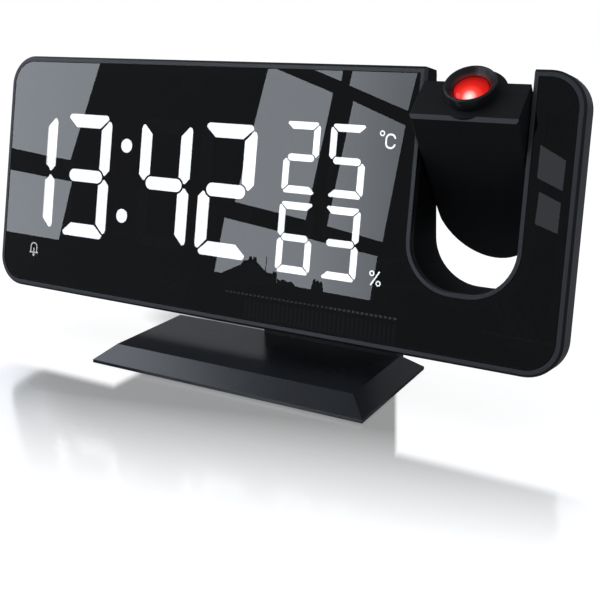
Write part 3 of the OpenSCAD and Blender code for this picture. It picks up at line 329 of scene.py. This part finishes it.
outside = {
    "house": [(-8, -26), (-5, -23.7), (-1, -21.7), (1, -20.7), (2, -19.3), (3.6, -19.1), (3.8, -17.9),
              (4.6, -17.9), (4.8, -18.6), (5.2, -18.6), (5.3, -17.8), (6.2, -17.9), (6.5, -19.3),
              (7.5, -20), (9, -21.2), (10.5, -21.9), (12, -21.9), (12.2, -21.3), (13.4, -21.4),
              (13.6, -26)],
    "mast": [(9.5, -22), (9.5, -17.3), (9.75, -17.3), (9.75, -22)],
    "hedge": [(13.6, -26), (13.6, -23.2), (14.6, -23.6), (15.8, -23.1), (17, -23.7), (18.4, -23.4),
              (19.4, -24.2), (21, -26)],
    "trees": [(24.6, -26), (25.0, -23.4), (25.3, -22.0), (25.8, -21.6), (26.2, -22.3), (26.7, -21.7),
              (27.3, -22.5), (27.9, -22.0), (28.4, -23.0), (28.9, -26)],
}
for name, outline in outside.items():
    only_mirrored("outside_" + name, outline, dark_room, outside_distance)

# A radiator under the window: a row of sparks with fins below them
radiator_line = glow("radiator_line", daylight, 0.95, 0.80)
radiator_fin = glow("radiator_fin", daylight, 0.34, 0.30)
spark_count, bright_from, fins_from = 40, 25, 5
first_spark, spark_pitch = -3.0, 1.38
for k in range(spark_count):
    u = first_spark + k * spark_pitch
    strips = [("spark", 0.42, -29.1, 0.30, window_dusk) if k >= bright_from else
              ("spark", 0.42, -29.1, 0.24, radiator_line)]
    if k >= fins_from:
        strips.append(("fin", 0.35, -33.2, 2.6, radiator_fin))
    for name, half, v, rise, material in strips:
        corners = [(u - half, v - rise), (u + half, v - rise), (u + half, v + rise), (u - half, v + rise)]
        only_mirrored("%s_%02d" % (name, k), corners, material, pane_distance)
far_line = [(75.0, -28.5), (94.0, -29.0), (94.0, -29.3), (75.0, -28.8)]
only_mirrored("far_line", far_line, radiator_fin, pane_distance)


# ---------------------------------------------------------------- housing
# Front bezel and rear shell are moulded in satin black ABS and screwed together from behind.
# The mould's fine grain breaks up the gloss; the edges are lighter, as wear and painted highlight.
# The bezel's narrow land round the panel is flat, with a painted highlight that lightens it.
def new_group(name, inputs, outputs):
    group = bpy.data.node_groups.new(name, "ShaderNodeTree")
    for label, kind, value in inputs:
        socket = group.interface.new_socket(label, in_out="INPUT", socket_type=kind)
        if value is not None:
            socket.default_value = value
    for label, kind in outputs:
        group.interface.new_socket(label, in_out="OUTPUT", socket_type=kind)
    return group, add(group, "NodeGroupInput"), add(group, "NodeGroupOutput")


VALUE, VECTOR = "NodeSocketFloat", "NodeSocketVector"

moulded_grain, start, end = new_group("moulded_grain",
                                      [("Vector", VECTOR, None), ("Grain Size", VALUE, 0.0004)],
                                      [("Height", VALUE), ("Patches", VALUE)])
per_metre = maths(moulded_grain, "DIVIDE", 1.0, start.outputs["Grain Size"])
pits = add(moulded_grain, "ShaderNodeTexVoronoi", {"Vector": start.outputs["Vector"], "Scale": per_metre},
           feature="SMOOTH_F1")
fine = add(moulded_grain, "ShaderNodeTexNoise", {"Vector": start.outputs["Vector"], "Scale": per_metre,
                                                 "Detail": 4.0, "Roughness": 0.6})
both = maths(moulded_grain, "ADD", pits.outputs["Distance"], fine.outputs["Fac"])
moulded_grain.links.new(both, end.inputs["Height"])
broad = add(moulded_grain, "ShaderNodeTexNoise", {"Vector": start.outputs["Vector"], "Scale": 38.0,
                                                  "Detail": 3.0})
moulded_grain.links.new(broad.outputs["Fac"], end.inputs["Patches"])

edge_wear_and_highlight, start, end = new_group("edge_wear_and_highlight", [("Width", VALUE, 0.0003)],
                                  [("Edge", VALUE), ("Normal", VECTOR)])
rounded = add(edge_wear_and_highlight, "ShaderNodeBevel", {"Radius": start.outputs["Width"]}, samples=4)
flat = add(edge_wear_and_highlight, "ShaderNodeNewGeometry")
cosine = vector_maths(edge_wear_and_highlight, "DOT_PRODUCT", rounded.outputs[0], flat.outputs["Normal"])
edge = fade(edge_wear_and_highlight, cosine, 0.995, 0.80)
edge_wear_and_highlight.links.new(edge, end.inputs["Edge"])
edge_wear_and_highlight.links.new(rounded.outputs[0], end.inputs["Normal"])


def group_node(tree, group, inputs):
    return add(tree, "ShaderNodeGroup", inputs, node_tree=group)


def moulded_plastic(name, body, rubbed_and_highlight, roughness, grain=0.0004, depth=0.00001, specular=0.5,
                    edge_width=0.00025):
    """Moulded plastic: fine grain in the surface, faint patches in the gloss, edges lighter as wear and
    painted highlight.
    """
    material, tree, shader = new_material(name)
    vector = object_coordinates(tree)
    surface = group_node(tree, moulded_grain, {"Vector": vector, "Grain Size": grain})
    lit_and_worn_edges = group_node(tree, edge_wear_and_highlight, {"Width": edge_width})
    darker, lighter = (tuple(share * c for c in body) for share in (0.93, 1.07))
    tint = ramp(tree, surface.outputs["Patches"], [(0.30, darker), (0.70, lighter)])
    # Edges mix to a lighter colour, partly wear and partly a painted highlight.
    colour = mix_colour(tree, lit_and_worn_edges.outputs["Edge"], tint, (*rubbed_and_highlight, 1))
    tree.links.new(colour, shader.inputs["Base Color"])
    gloss = fade(tree, surface.outputs["Patches"], 0.3, 0.7, roughness - 0.03, roughness + 0.03)
    tree.links.new(gloss, shader.inputs["Roughness"])
    bump = add(tree, "ShaderNodeBump", {"Height": surface.outputs["Height"], "Strength": 0.5,
                                        "Distance": depth, "Normal": lit_and_worn_edges.outputs["Normal"]})
    tree.links.new(bump.outputs[0], shader.inputs["Normal"])
    shader.inputs["Specular IOR Level"].default_value = specular
    return material


def finish(material, *names):
    for name in names:
        mesh = nodes[name].data
        mesh.materials.clear()
        mesh.materials.append(material)


def coloured_where(material, mask, colour):
    """Lays a second colour over the material's own where the mask is 1."""
    tree, shader = tree_and_shader(material)
    plain = shader.inputs["Base Color"].links[0].from_socket
    tree.links.new(mix_colour(tree, mask, plain, (*colour, 1)), shader.inputs["Base Color"])


satin_black = moulded_plastic("satin_black", (0.012, 0.0128, 0.0145), (0.035, 0.037, 0.041), 0.36,
                              specular=0.35)
finish(satin_black, "rear_shell")
bezel_black = moulded_plastic("bezel_black", (0.011, 0.0118, 0.0135), (0.030, 0.032, 0.036), 0.34,
                              specular=0.35)
tree, shader = tree_and_shader(bezel_black)
# Painted highlight: the flat land round the panel gets a lighter colour.
from_face = vector_maths(tree, "SUBTRACT", object_coordinates(tree), face_middle)
in_front = vector_maths(tree, "DOT_PRODUCT", from_face, face_out)
painted_land_highlight = fade(tree, in_front, -0.00010, -0.00002)
coloured_where(bezel_black, painted_land_highlight, (0.043, 0.046, 0.053))
finish(bezel_black, "front_bezel")


# ---------------------------------------------------------------- rear shell's corners
# The bulge of the rear shell reaches forward over the head's edge. At the two upper corners it
# is cut back here to the head's round outline. The arm's notch runs through the shell, and its
# walls are painted a darker, duller black as painted shade in the recess.
def arc(radius, start, stop, middle=(0, 0), steps=16):
    """Points along an arc, with angles in degrees."""
    angles = [math.radians(start + (stop - start) * k / steps) for k in range(steps + 1)]
    return [(middle[0] + radius * math.cos(t), middle[1] + radius * math.sin(t)) for t in angles]


def prism(build, corners, way):
    """Adds the solid between a flat outline and the same outline moved along way."""
    face = build.faces.new([build.verts.new(c) for c in corners])
    pulled = bmesh.ops.extrude_face_region(build, geom=[face])["geom"]
    bmesh.ops.translate(build, verts=[v for v in pulled if isinstance(v, bmesh.types.BMVert)], vec=way)


notch_painted_shade = moulded_plastic("notch_painted_shade", (0.005, 0.0053, 0.006), (0.020, 0.021, 0.023), 0.62,
                              specular=0.12)
corner_r = 0.0096
left_proud = 0.00004
cutter_width = 0.006
cut_from, cut_depth = 0.0058, 0.008
head_half, head_top = 0.0957, 0.03845
corner_middle = (head_half - corner_r, head_top - corner_r)
outline = (arc(corner_r + left_proud, 16, 90, corner_middle, 37)
           + arc(corner_r + cutter_width, 90, 16, corner_middle, 37))
build = bmesh.new()
for side in (-1, 1):
    corners = [face_middle + Vector((side * u, 0, 0)) + face_up * v - face_out * cut_from
               for u, v in outline]
    prism(build, corners, -face_out * cut_depth)
bmesh.ops.recalc_face_normals(build, faces=build.faces)
cutter_mesh = bpy.data.meshes.new("corner_cutter")
build.to_mesh(cutter_mesh)
build.free()
cutter = new_piece("corner_cutter", cutter_mesh)
rear_moulding = new_piece("rear_moulding", nodes["rear_shell"].data.copy())
cut = rear_moulding.modifiers.new("corners", "BOOLEAN")
cut.operation = "DIFFERENCE"
cut.solver = "EXACT"
cut.object = cutter
bpy.context.view_layer.update()
cut_shape = rear_moulding.evaluated_get(bpy.context.evaluated_depsgraph_get())
mesh = bpy.data.meshes.new_from_object(cut_shape)
rear_moulding.modifiers.clear()
bpy.data.objects.remove(cutter)

mesh.name = "rear_moulding"
mesh.materials.clear()
mesh.materials.append(satin_black)
mesh.materials.append(notch_painted_shade)
notch_middle, notch_half, notch_low = 0.06765, 0.0147, -0.0202
sharp = math.radians(30)
build = bmesh.new()
build.from_mesh(mesh)
for edge in build.edges:
    edge.smooth = len(edge.link_faces) == 2 and edge.calc_face_angle(0.0) < sharp
for face in build.faces:
    face.smooth = True
    spot = face.calc_center_median()
    in_notch = (abs(spot.x - notch_middle) < notch_half
                and (spot - face_middle).dot(face_up) > notch_low)
    is_wall = abs(face.normal.dot(face_out)) < 0.3
    # Painted shade: the notch's walls take the darker notch material.
    face.material_index = int(in_notch and is_wall)
build.to_mesh(mesh)
build.free()
rear_moulding.data = mesh
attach(rear_moulding, "root")
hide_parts("rear_shell")


# ---------------------------------------------------------------- mirror panel
# One sheet of smoked, polished acrylic lies in the bezel's ledge. It hides everything dark
# behind it and lets the lit figures through; a few wiping marks show only in its gloss.
smudges, start, end = new_group("smudges", [("Vector", VECTOR, None), ("Amount", VALUE, 0.05)],
                                [("Roughness", VALUE)])
cloud = add(smudges, "ShaderNodeTexNoise", {"Vector": start.outputs["Vector"], "Scale": 55.0,
                                            "Detail": 5.0, "Roughness": 0.65})
streak = add(smudges, "ShaderNodeTexNoise", {"Vector": start.outputs["Vector"], "Scale": 140.0,
                                             "Detail": 2.0, "Distortion": 0.6})
mixed = maths(smudges, "MULTIPLY", cloud.outputs["Fac"], streak.outputs["Fac"])
clear = fade(smudges, mixed, 0.24, 0.42, 0.0, start.outputs["Amount"])
smudges.links.new(clear, end.inputs["Roughness"])

smoked_acrylic, tree, shader = new_material("smoked_acrylic")
shader.inputs["Base Color"].default_value = (0.030, 0.0308, 0.032, 1)
shader.inputs["IOR"].default_value = 1.49
shader.inputs["Transmission Weight"].default_value = 1.0
stretched = object_coordinates(tree, scale=(1, 1, 2))
marks = group_node(tree, smudges, {"Vector": stretched, "Amount": 0.0015})
tree.links.new(marks.outputs[0], shader.inputs["Roughness"])
finish(smoked_acrylic, "mirror_panel")


# ---------------------------------------------------------------- display
# Behind the panel lie a matt black film with the figures' windows, milky diffusers lit from
# behind by chips on the display board, and the reflector block that keeps their light apart.
def noise_colours(tree, scale, stops, detail=2.0):
    """Colours from noise, through a ramp with these stops."""
    noise = add(tree, "ShaderNodeTexNoise", {"Vector": object_coordinates(tree), "Scale": scale,
                                             "Detail": detail})
    return ramp(tree, noise.outputs["Fac"], stops)


film_black, tree, shader = new_material("film_black")
fibres = noise_colours(tree, 900.0, [(0.3, 0.0015), (0.7, 0.0022)])
tree.links.new(fibres, shader.inputs["Base Color"])
shader.inputs["Roughness"].default_value = 0.8
shader.inputs["Specular IOR Level"].default_value = 0.0
finish(film_black, "display_mask")

block_black = moulded_plastic("block_black", (0.010, 0.010, 0.010), (0.015, 0.015, 0.015), 0.6)
finish(block_black, "display_reflector")

lit_white, tree, shader = new_material("lit_white")
shader.inputs["Base Color"].default_value = (0.9, 0.9, 0.9, 1)
white = noise_colours(tree, 260.0, [(0.3, (0.93, 0.96, 1.0)), (0.7, (1.0, 1.0, 1.0))], detail=1.0)
across = add(tree, "ShaderNodeSeparateXYZ", {0: object_coordinates(tree)}).outputs["X"]
time_middle, time_half, small_signs_power = -0.01535, 0.0625, 0.54
off_time = maths(tree, "ABSOLUTE", maths(tree, "SUBTRACT", across, time_middle))
power = fade(tree, off_time, time_half, time_half + 0.0007, 1.0, small_signs_power)
tree.links.new(vector_maths(tree, "MULTIPLY", white, power), shader.inputs["Emission Color"])
shader.inputs["Emission Strength"].default_value = 36.0
finish(lit_white, "lit_segments")

unlit_smoke = moulded_plastic("unlit_smoke", (0.003, 0.003, 0.0035), (0.003, 0.003, 0.0035), 0.7,
                              specular=0.0)
finish(unlit_smoke, "unlit_segments")

led_phosphor, tree, shader = new_material("led_phosphor")
phosphor = noise_colours(tree, 3000.0, [(0.35, (0.78, 0.68, 0.16)), (0.65, (0.92, 0.84, 0.34))])
tree.links.new(phosphor, shader.inputs["Base Color"])
shader.inputs["Roughness"].default_value = 0.45
finish(led_phosphor, "display_leds")


# ---------------------------------------------------------------- circuit boards and their parts
# Glass-fibre boards with green solder mask over copper tracks, black moulded chips with a
# faint grain, and tactile switches with a stamped steel cover under each key.
board_green, tree, shader = new_material("board_green")
vector = object_coordinates(tree)
tracks = add(tree, "ShaderNodeTexBrick", {
    "Vector": vector, "Scale": 300.0, "Mortar Size": 0.08, "Brick Width": 0.9, "Row Height": 0.32,
    "Color1": (0.012, 0.085, 0.03, 1), "Color2": (0.010, 0.070, 0.026, 1), "Mortar": (0.03, 0.16, 0.05, 1)})
tree.links.new(tracks.outputs["Color"], shader.inputs["Base Color"])
weave = add(tree, "ShaderNodeTexNoise", {"Vector": vector, "Scale": 1400.0, "Detail": 2.0})
raised = add(tree, "ShaderNodeBump", {"Height": weave.outputs["Fac"], "Strength": 0.2, "Distance": 0.00002})
tree.links.new(raised.outputs[0], shader.inputs["Normal"])
shader.inputs["Roughness"].default_value = 0.28
finish(board_green, "display_board", "main_board", "power_board", "led_board", "temperature_sensor")

chip_black = moulded_plastic("chip_black", (0.012, 0.012, 0.013), (0.02, 0.02, 0.02), 0.5, grain=0.00012)
finish(chip_black, "main_chips")


def plated_metal(name, pale, deep, roughness, brush=(1, 1, 1), scale=900.0):
    """Plated or drawn metal with fine brushing along the direction that brush leaves small."""
    material, tree, shader = new_material(name)
    vector = object_coordinates(tree, scale=brush)
    lines = add(tree, "ShaderNodeTexNoise", {"Vector": vector, "Scale": scale, "Detail": 3.0,
                                             "Roughness": 0.6})
    stain = add(tree, "ShaderNodeTexNoise", {"Vector": vector, "Scale": 160.0, "Detail": 2.0})
    tint = ramp(tree, stain.outputs["Fac"], [(0.3, deep), (0.7, pale)])
    tree.links.new(tint, shader.inputs["Base Color"])
    gloss = fade(tree, lines.outputs["Fac"], 0.3, 0.7, roughness - 0.08, roughness + 0.08)
    tree.links.new(gloss, shader.inputs["Roughness"])
    lit_and_worn_edges = group_node(tree, edge_wear_and_highlight, {"Width": 0.00012})
    bump = add(tree, "ShaderNodeBump", {"Height": lines.outputs["Fac"], "Strength": 0.15,
                                        "Distance": 0.00001, "Normal": lit_and_worn_edges.outputs["Normal"]})
    tree.links.new(bump.outputs[0], shader.inputs["Normal"])
    shader.inputs["Metallic"].default_value = 1.0
    return material


plated_steel = plated_metal("plated_steel", (0.62, 0.63, 0.65), (0.50, 0.51, 0.53), 0.28)
drawn_steel = plated_metal("drawn_steel", (0.56, 0.57, 0.58), (0.44, 0.45, 0.46), 0.36,
                           brush=(1, 1, 12))
finish(drawn_steel, "key_switches", "base_weight")


# ---------------------------------------------------------------- keys
# Seven satin keys stand through windows of the back. A pad-printed sign on each says what it
# does: mode, forward, back, snooze, alarm, radio and projector.
key_black = moulded_plastic("key_black", (0.019, 0.020, 0.022), (0.05, 0.052, 0.056), 0.42, grain=0.0003)
rear_out = Vector((0, 0.99756, 0.06976))  # the face of the back leans by 4 degrees
rear_up = Vector((0, -0.06976, 0.99756))
rear_across = Vector((-1, 0, 0))


def band_of(inner, outer, start, stop, middle=(0, 0)):
    return arc(outer, start, stop, middle) + arc(inner, stop, start, middle)


def disc(radius, middle=(0, 0)):
    return arc(radius, 0, 337.5, middle, 15)


def rear_relief(name, spot, outlines, height, material, body):
    """Shapes on a rear face, in millimetres across and up from spot, that stand out by height."""
    sunk = 0.00004
    mesh = bpy.data.meshes.new(name)
    build = bmesh.new()
    for outline in outlines:
        corners = [spot + rear_across * a / 1000 + rear_up * b / 1000 - rear_out * sunk
                   for a, b in outline]
        prism(build, corners, rear_out * (height + sunk))
    bmesh.ops.recalc_face_normals(build, faces=build.faces)
    build.to_mesh(mesh)
    build.free()
    mesh.materials.append(material)
    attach(new_piece(name, mesh), body)


print_grey, tree, shader = new_material("print_grey")
worn_ink = noise_colours(tree, 2600.0, [(0.32, 0.30), (0.45, 0.55), (0.70, 0.62)], detail=3.0)
tree.links.new(worn_ink, shader.inputs["Base Color"])
shader.inputs["Roughness"].default_value = 0.55
signs = {
    "mode": [band_of(0.85, 1.15, 0, 180), band_of(0.85, 1.15, 180, 360), disc(0.30)],
    "up": [[(-1.1, -0.8), (1.1, -0.8), (0, 1.0)]],
    "down": [[(-1.1, 0.8), (0, -1.0), (1.1, 0.8)]],
    "snooze": [arc(1.2, 45, 315) + arc(0.901, -70.6, -289.4, (0.551, 0))[1:-1]],
    "alarm": [arc(0.72, 0, 180, (0, 0.35)) + [(-0.72, -0.25), (-1.15, -0.75), (1.15, -0.75), (0.72, -0.25)],
              arc(0.30, 180, 360, (0, -0.85))],
    "radio": [*(band_of(r, r + 0.22, 48, 132, (0, -0.95)) for r in (0.65, 1.15, 1.65)),
              disc(0.28, (0, -0.95))],
    "projector": [[(-1.6, -0.5), (-0.7, -0.5), (-0.7, 0.5), (-1.6, 0.5)],
                  [(-0.5, -0.2), (1.6, -0.95), (1.6, 0.95), (-0.5, 0.2)]],
}
ink_height = 0.00002
key_row_y, key_row_z = 0.01121, 0.07188
for name, outlines in signs.items():
    finish(key_black, "key_" + name)
    low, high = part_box("key_" + name)
    key_face = Vector(((low.x + high.x) / 2, key_row_y, key_row_z))
    rear_relief("key_sign_" + name, key_face, outlines, ink_height, print_grey, "key_" + name)


# ---------------------------------------------------------------- battery bay
# A coin cell lies under a round cover with a coin slot and a raised pointer; two dots stand on
# the housing beside it. The cell is nickel-plated steel, and its contacts are strips of gilded
# spring bronze.
cell_nickel = plated_metal("cell_nickel", (0.66, 0.65, 0.62), (0.57, 0.56, 0.54), 0.22)
contact_gilt = plated_metal("contact_gilt", (0.83, 0.62, 0.28), (0.72, 0.52, 0.22), 0.25)
finish(cell_nickel, "coin_cell")
finish(contact_gilt, "cell_spring", "cell_clip")
cover_black = moulded_plastic("cover_black", (0.015, 0.016, 0.018), (0.045, 0.047, 0.051), 0.40,
                              grain=0.00045)
finish(cover_black, "battery_cover")
bay_face = Vector((-0.027, 0.01259, 0.03778))
raised_by = 0.00010
pointer = [(-0.9, 9.0), (0.9, 9.0), (0, 10.8)]
rear_relief("cover_pointer", bay_face, [pointer], raised_by, cover_black, "battery_cover")
housing_face = bay_face + rear_out * 0.0001
mark_r = 0.0139
for turn, dot_r in ((0, 0.45), (-35, 0.65)):
    t = math.radians(90 + turn)
    around = housing_face + rear_across * mark_r * math.cos(t) + rear_up * mark_r * math.sin(t)
    rear_relief("cover_mark_%d" % abs(turn), around, [disc(dot_r)], raised_by, satin_black, "root")


# ---------------------------------------------------------------- speaker, sockets and sensor
# The speaker's coated paper cone sits behind a slotted grille. The power socket is black
# nylon, the charging socket a folded, tin-plated steel shell.
paper_black = moulded_plastic("paper_black", (0.016, 0.016, 0.017), (0.03, 0.03, 0.03), 0.75,
                              grain=0.0006, depth=0.00003)
finish(paper_black, "speaker")
finish(satin_black, "speaker_grille")
socket_nylon = moulded_plastic("socket_nylon", (0.010, 0.010, 0.011), (0.03, 0.03, 0.032), 0.33,
                               grain=0.00025)
finish(socket_nylon, "power_socket")
tin_plate = plated_metal("tin_plate", (0.70, 0.71, 0.72), (0.58, 0.59, 0.60), 0.24)
finish(tin_plate, "charging_socket")


# ---------------------------------------------------------------- stand
# A low base with sloping sides, moulded in the housing's black but with a silkier gloss,
# and a broad upright that is screwed to the head's back.
base_black = moulded_plastic("base_black", (0.0185, 0.0202, 0.0237), (0.040, 0.043, 0.048), 0.26,
                             grain=0.00035, specular=0.4)
finish(base_black, "base_shell", "stand_upright")
plate_paint = moulded_plastic("plate_paint", (0.017, 0.018, 0.020), (0.05, 0.05, 0.055), 0.5,
                              grain=0.0007, depth=0.00003)
finish(plate_paint, "base_plate")
mat_rubber = moulded_plastic("mat_rubber", (0.010, 0.010, 0.010), (0.018, 0.018, 0.018), 0.78,
                             grain=0.0005, depth=0.00004, specular=0.3)
finish(mat_rubber, "rubber_mat")
finish(plated_steel, "shell_screws", "stand_screws", "base_screws", "arm_screws")


# ---------------------------------------------------------------- projector arm
# Two moulded shells, screwed together on the lens axis, swing on two steel axles between
# friction washers. The tongue is finer and duller than the head, so it shows hardly any gloss,
# and the narrow bevel along its front carries a painted highlight.
arm_black = moulded_plastic("arm_black", (0.0125, 0.0128, 0.0138), (0.016, 0.0165, 0.0175), 0.46,
                            grain=0.00035, specular=0.25)
tree, shader = tree_and_shader(arm_black)
facing = add(tree, "ShaderNodeTexCoord").outputs["Normal"]
# Painted highlight: the bevel facing this way is coloured lighter.
bevel_out = (0.0, -0.993, 0.12)
painted_bevel_highlight = fade(tree, vector_maths(tree, "DOT_PRODUCT", facing, bevel_out), 0.985, 0.995)
coloured_where(arm_black, painted_bevel_highlight, (0.062, 0.065, 0.072))
finish(arm_black, "arm_front_shell", "arm_rear_shell")
finish(drawn_steel, "axle_left", "axle_right", "axle_washers")


# ---------------------------------------------------------------- focus ring and optics
# The turning ring is satin black with a smooth bell mouth. The domed red lens has a painted glow
# of the projector's light-emitting diode, and a painted image of the diode is the white spot low in it.
ring_black = moulded_plastic("ring_black", (0.010, 0.0105, 0.012), (0.06, 0.063, 0.068), 0.34,
                             grain=0.0003)
finish(ring_black, "focus_ring")

lens_axis = Vector((0, -0.61566, 0.78801))
lens_across = Vector((1, 0, 0))
lens_low = lens_across.cross(lens_axis).normalized()
lens_front = Vector((0.06765, -0.003955, 0.087365))


def lens_places(tree):
    """Distances across and down from the lens axis, as two sockets."""
    from_axis = vector_maths(tree, "SUBTRACT", object_coordinates(tree), lens_front)
    return [vector_maths(tree, "DOT_PRODUCT", from_axis, way) for way in (lens_across, lens_low)]


# Painted glow: the red light's blush on the ring's throat, strongest above the lens, is emission
tree, shader = tree_and_shader(ring_black)
side, low = lens_places(tree)
radius = vector_maths(tree, "LENGTH", add(tree, "ShaderNodeCombineXYZ", {"X": side, "Y": low}).outputs[0])
in_throat = fade(tree, radius, 0.0049, 0.0054, 1.0, 0.0, smooth=True)
above = fade(tree, low, -0.0035, 0.0005, 1.0, 0.1)
blush = ramp(tree, product(tree, in_throat, above), [(0.0, 0.0), (1.0, (1.0, 0.03, 0.02))])
tree.links.new(blush, shader.inputs["Emission Color"])
shader.inputs["Emission Strength"].default_value = 0.08
tube_black = moulded_plastic("tube_black", (0.010, 0.010, 0.011), (0.02, 0.02, 0.02), 0.5)
finish(tube_black, "lens_barrel", "lens_cell")

red_lens, tree, shader = new_material("red_lens")
side, low = lens_places(tree)
white_spot, spot_reach = (0.0006, 0.0035, 0.0), 0.0082
place = add(tree, "ShaderNodeCombineXYZ", {"X": side, "Y": low}).outputs[0]
nearness = fade(tree, vector_maths(tree, "DISTANCE", place, white_spot), 0.0, spot_reach, 1.0, 0.0)
# Painted glow: emission and base colour are brightest at a painted white spot and darker away from it.
painted_glow = ramp(tree, nearness, [(0.0, (0.16, 0.002, 0.001)), (0.30, (0.42, 0.005, 0.004)),
                             (0.55, (0.68, 0.010, 0.007)), (0.76, (0.86, 0.08, 0.06)),
                             (0.95, (1.0, 0.88, 0.84))])
tree.links.new(painted_glow, shader.inputs["Emission Color"])
shader.inputs["Emission Strength"].default_value = 1.0
deep_reds = ramp(tree, nearness, [(0.0, (0.10, 0.003, 0.002)), (1.0, (0.30, 0.01, 0.008))])
tree.links.new(deep_reds, shader.inputs["Base Color"])
shader.inputs["Roughness"].default_value = 0.05
shader.inputs["Specular IOR Level"].default_value = 0.12
finish(red_lens, "projection_lens")

clear_glass, tree, shader = new_material("clear_glass")
shader.inputs["Base Color"].default_value = (0.93, 0.96, 0.97, 1)
shader.inputs["Transmission Weight"].default_value = 1.0
dust = group_node(tree, smudges, {"Vector": object_coordinates(tree), "Amount": 0.04})
tree.links.new(dust.outputs[0], shader.inputs["Roughness"])
finish(clear_glass, "condenser_lens")

slide_film, tree, shader = new_material("slide_film")
film_red = noise_colours(tree, 1500.0, [(0.3, (0.25, 0.01, 0.008)), (0.7, (0.34, 0.015, 0.010))])
tree.links.new(film_red, shader.inputs["Base Color"])
shader.inputs["Roughness"].default_value = 0.2
finish(slide_film, "picture_slide")

diode_red, tree, shader = new_material("diode_red")
lit_red = noise_colours(tree, 700.0, [(0.3, (0.9, 0.02, 0.01)), (0.7, (1.0, 0.06, 0.03))])
tree.links.new(lit_red, shader.inputs["Emission Color"])
shader.inputs["Base Color"].default_value = (0.5, 0.02, 0.01, 1)
shader.inputs["Emission Strength"].default_value = 3.0
finish(diode_red, "projector_led")
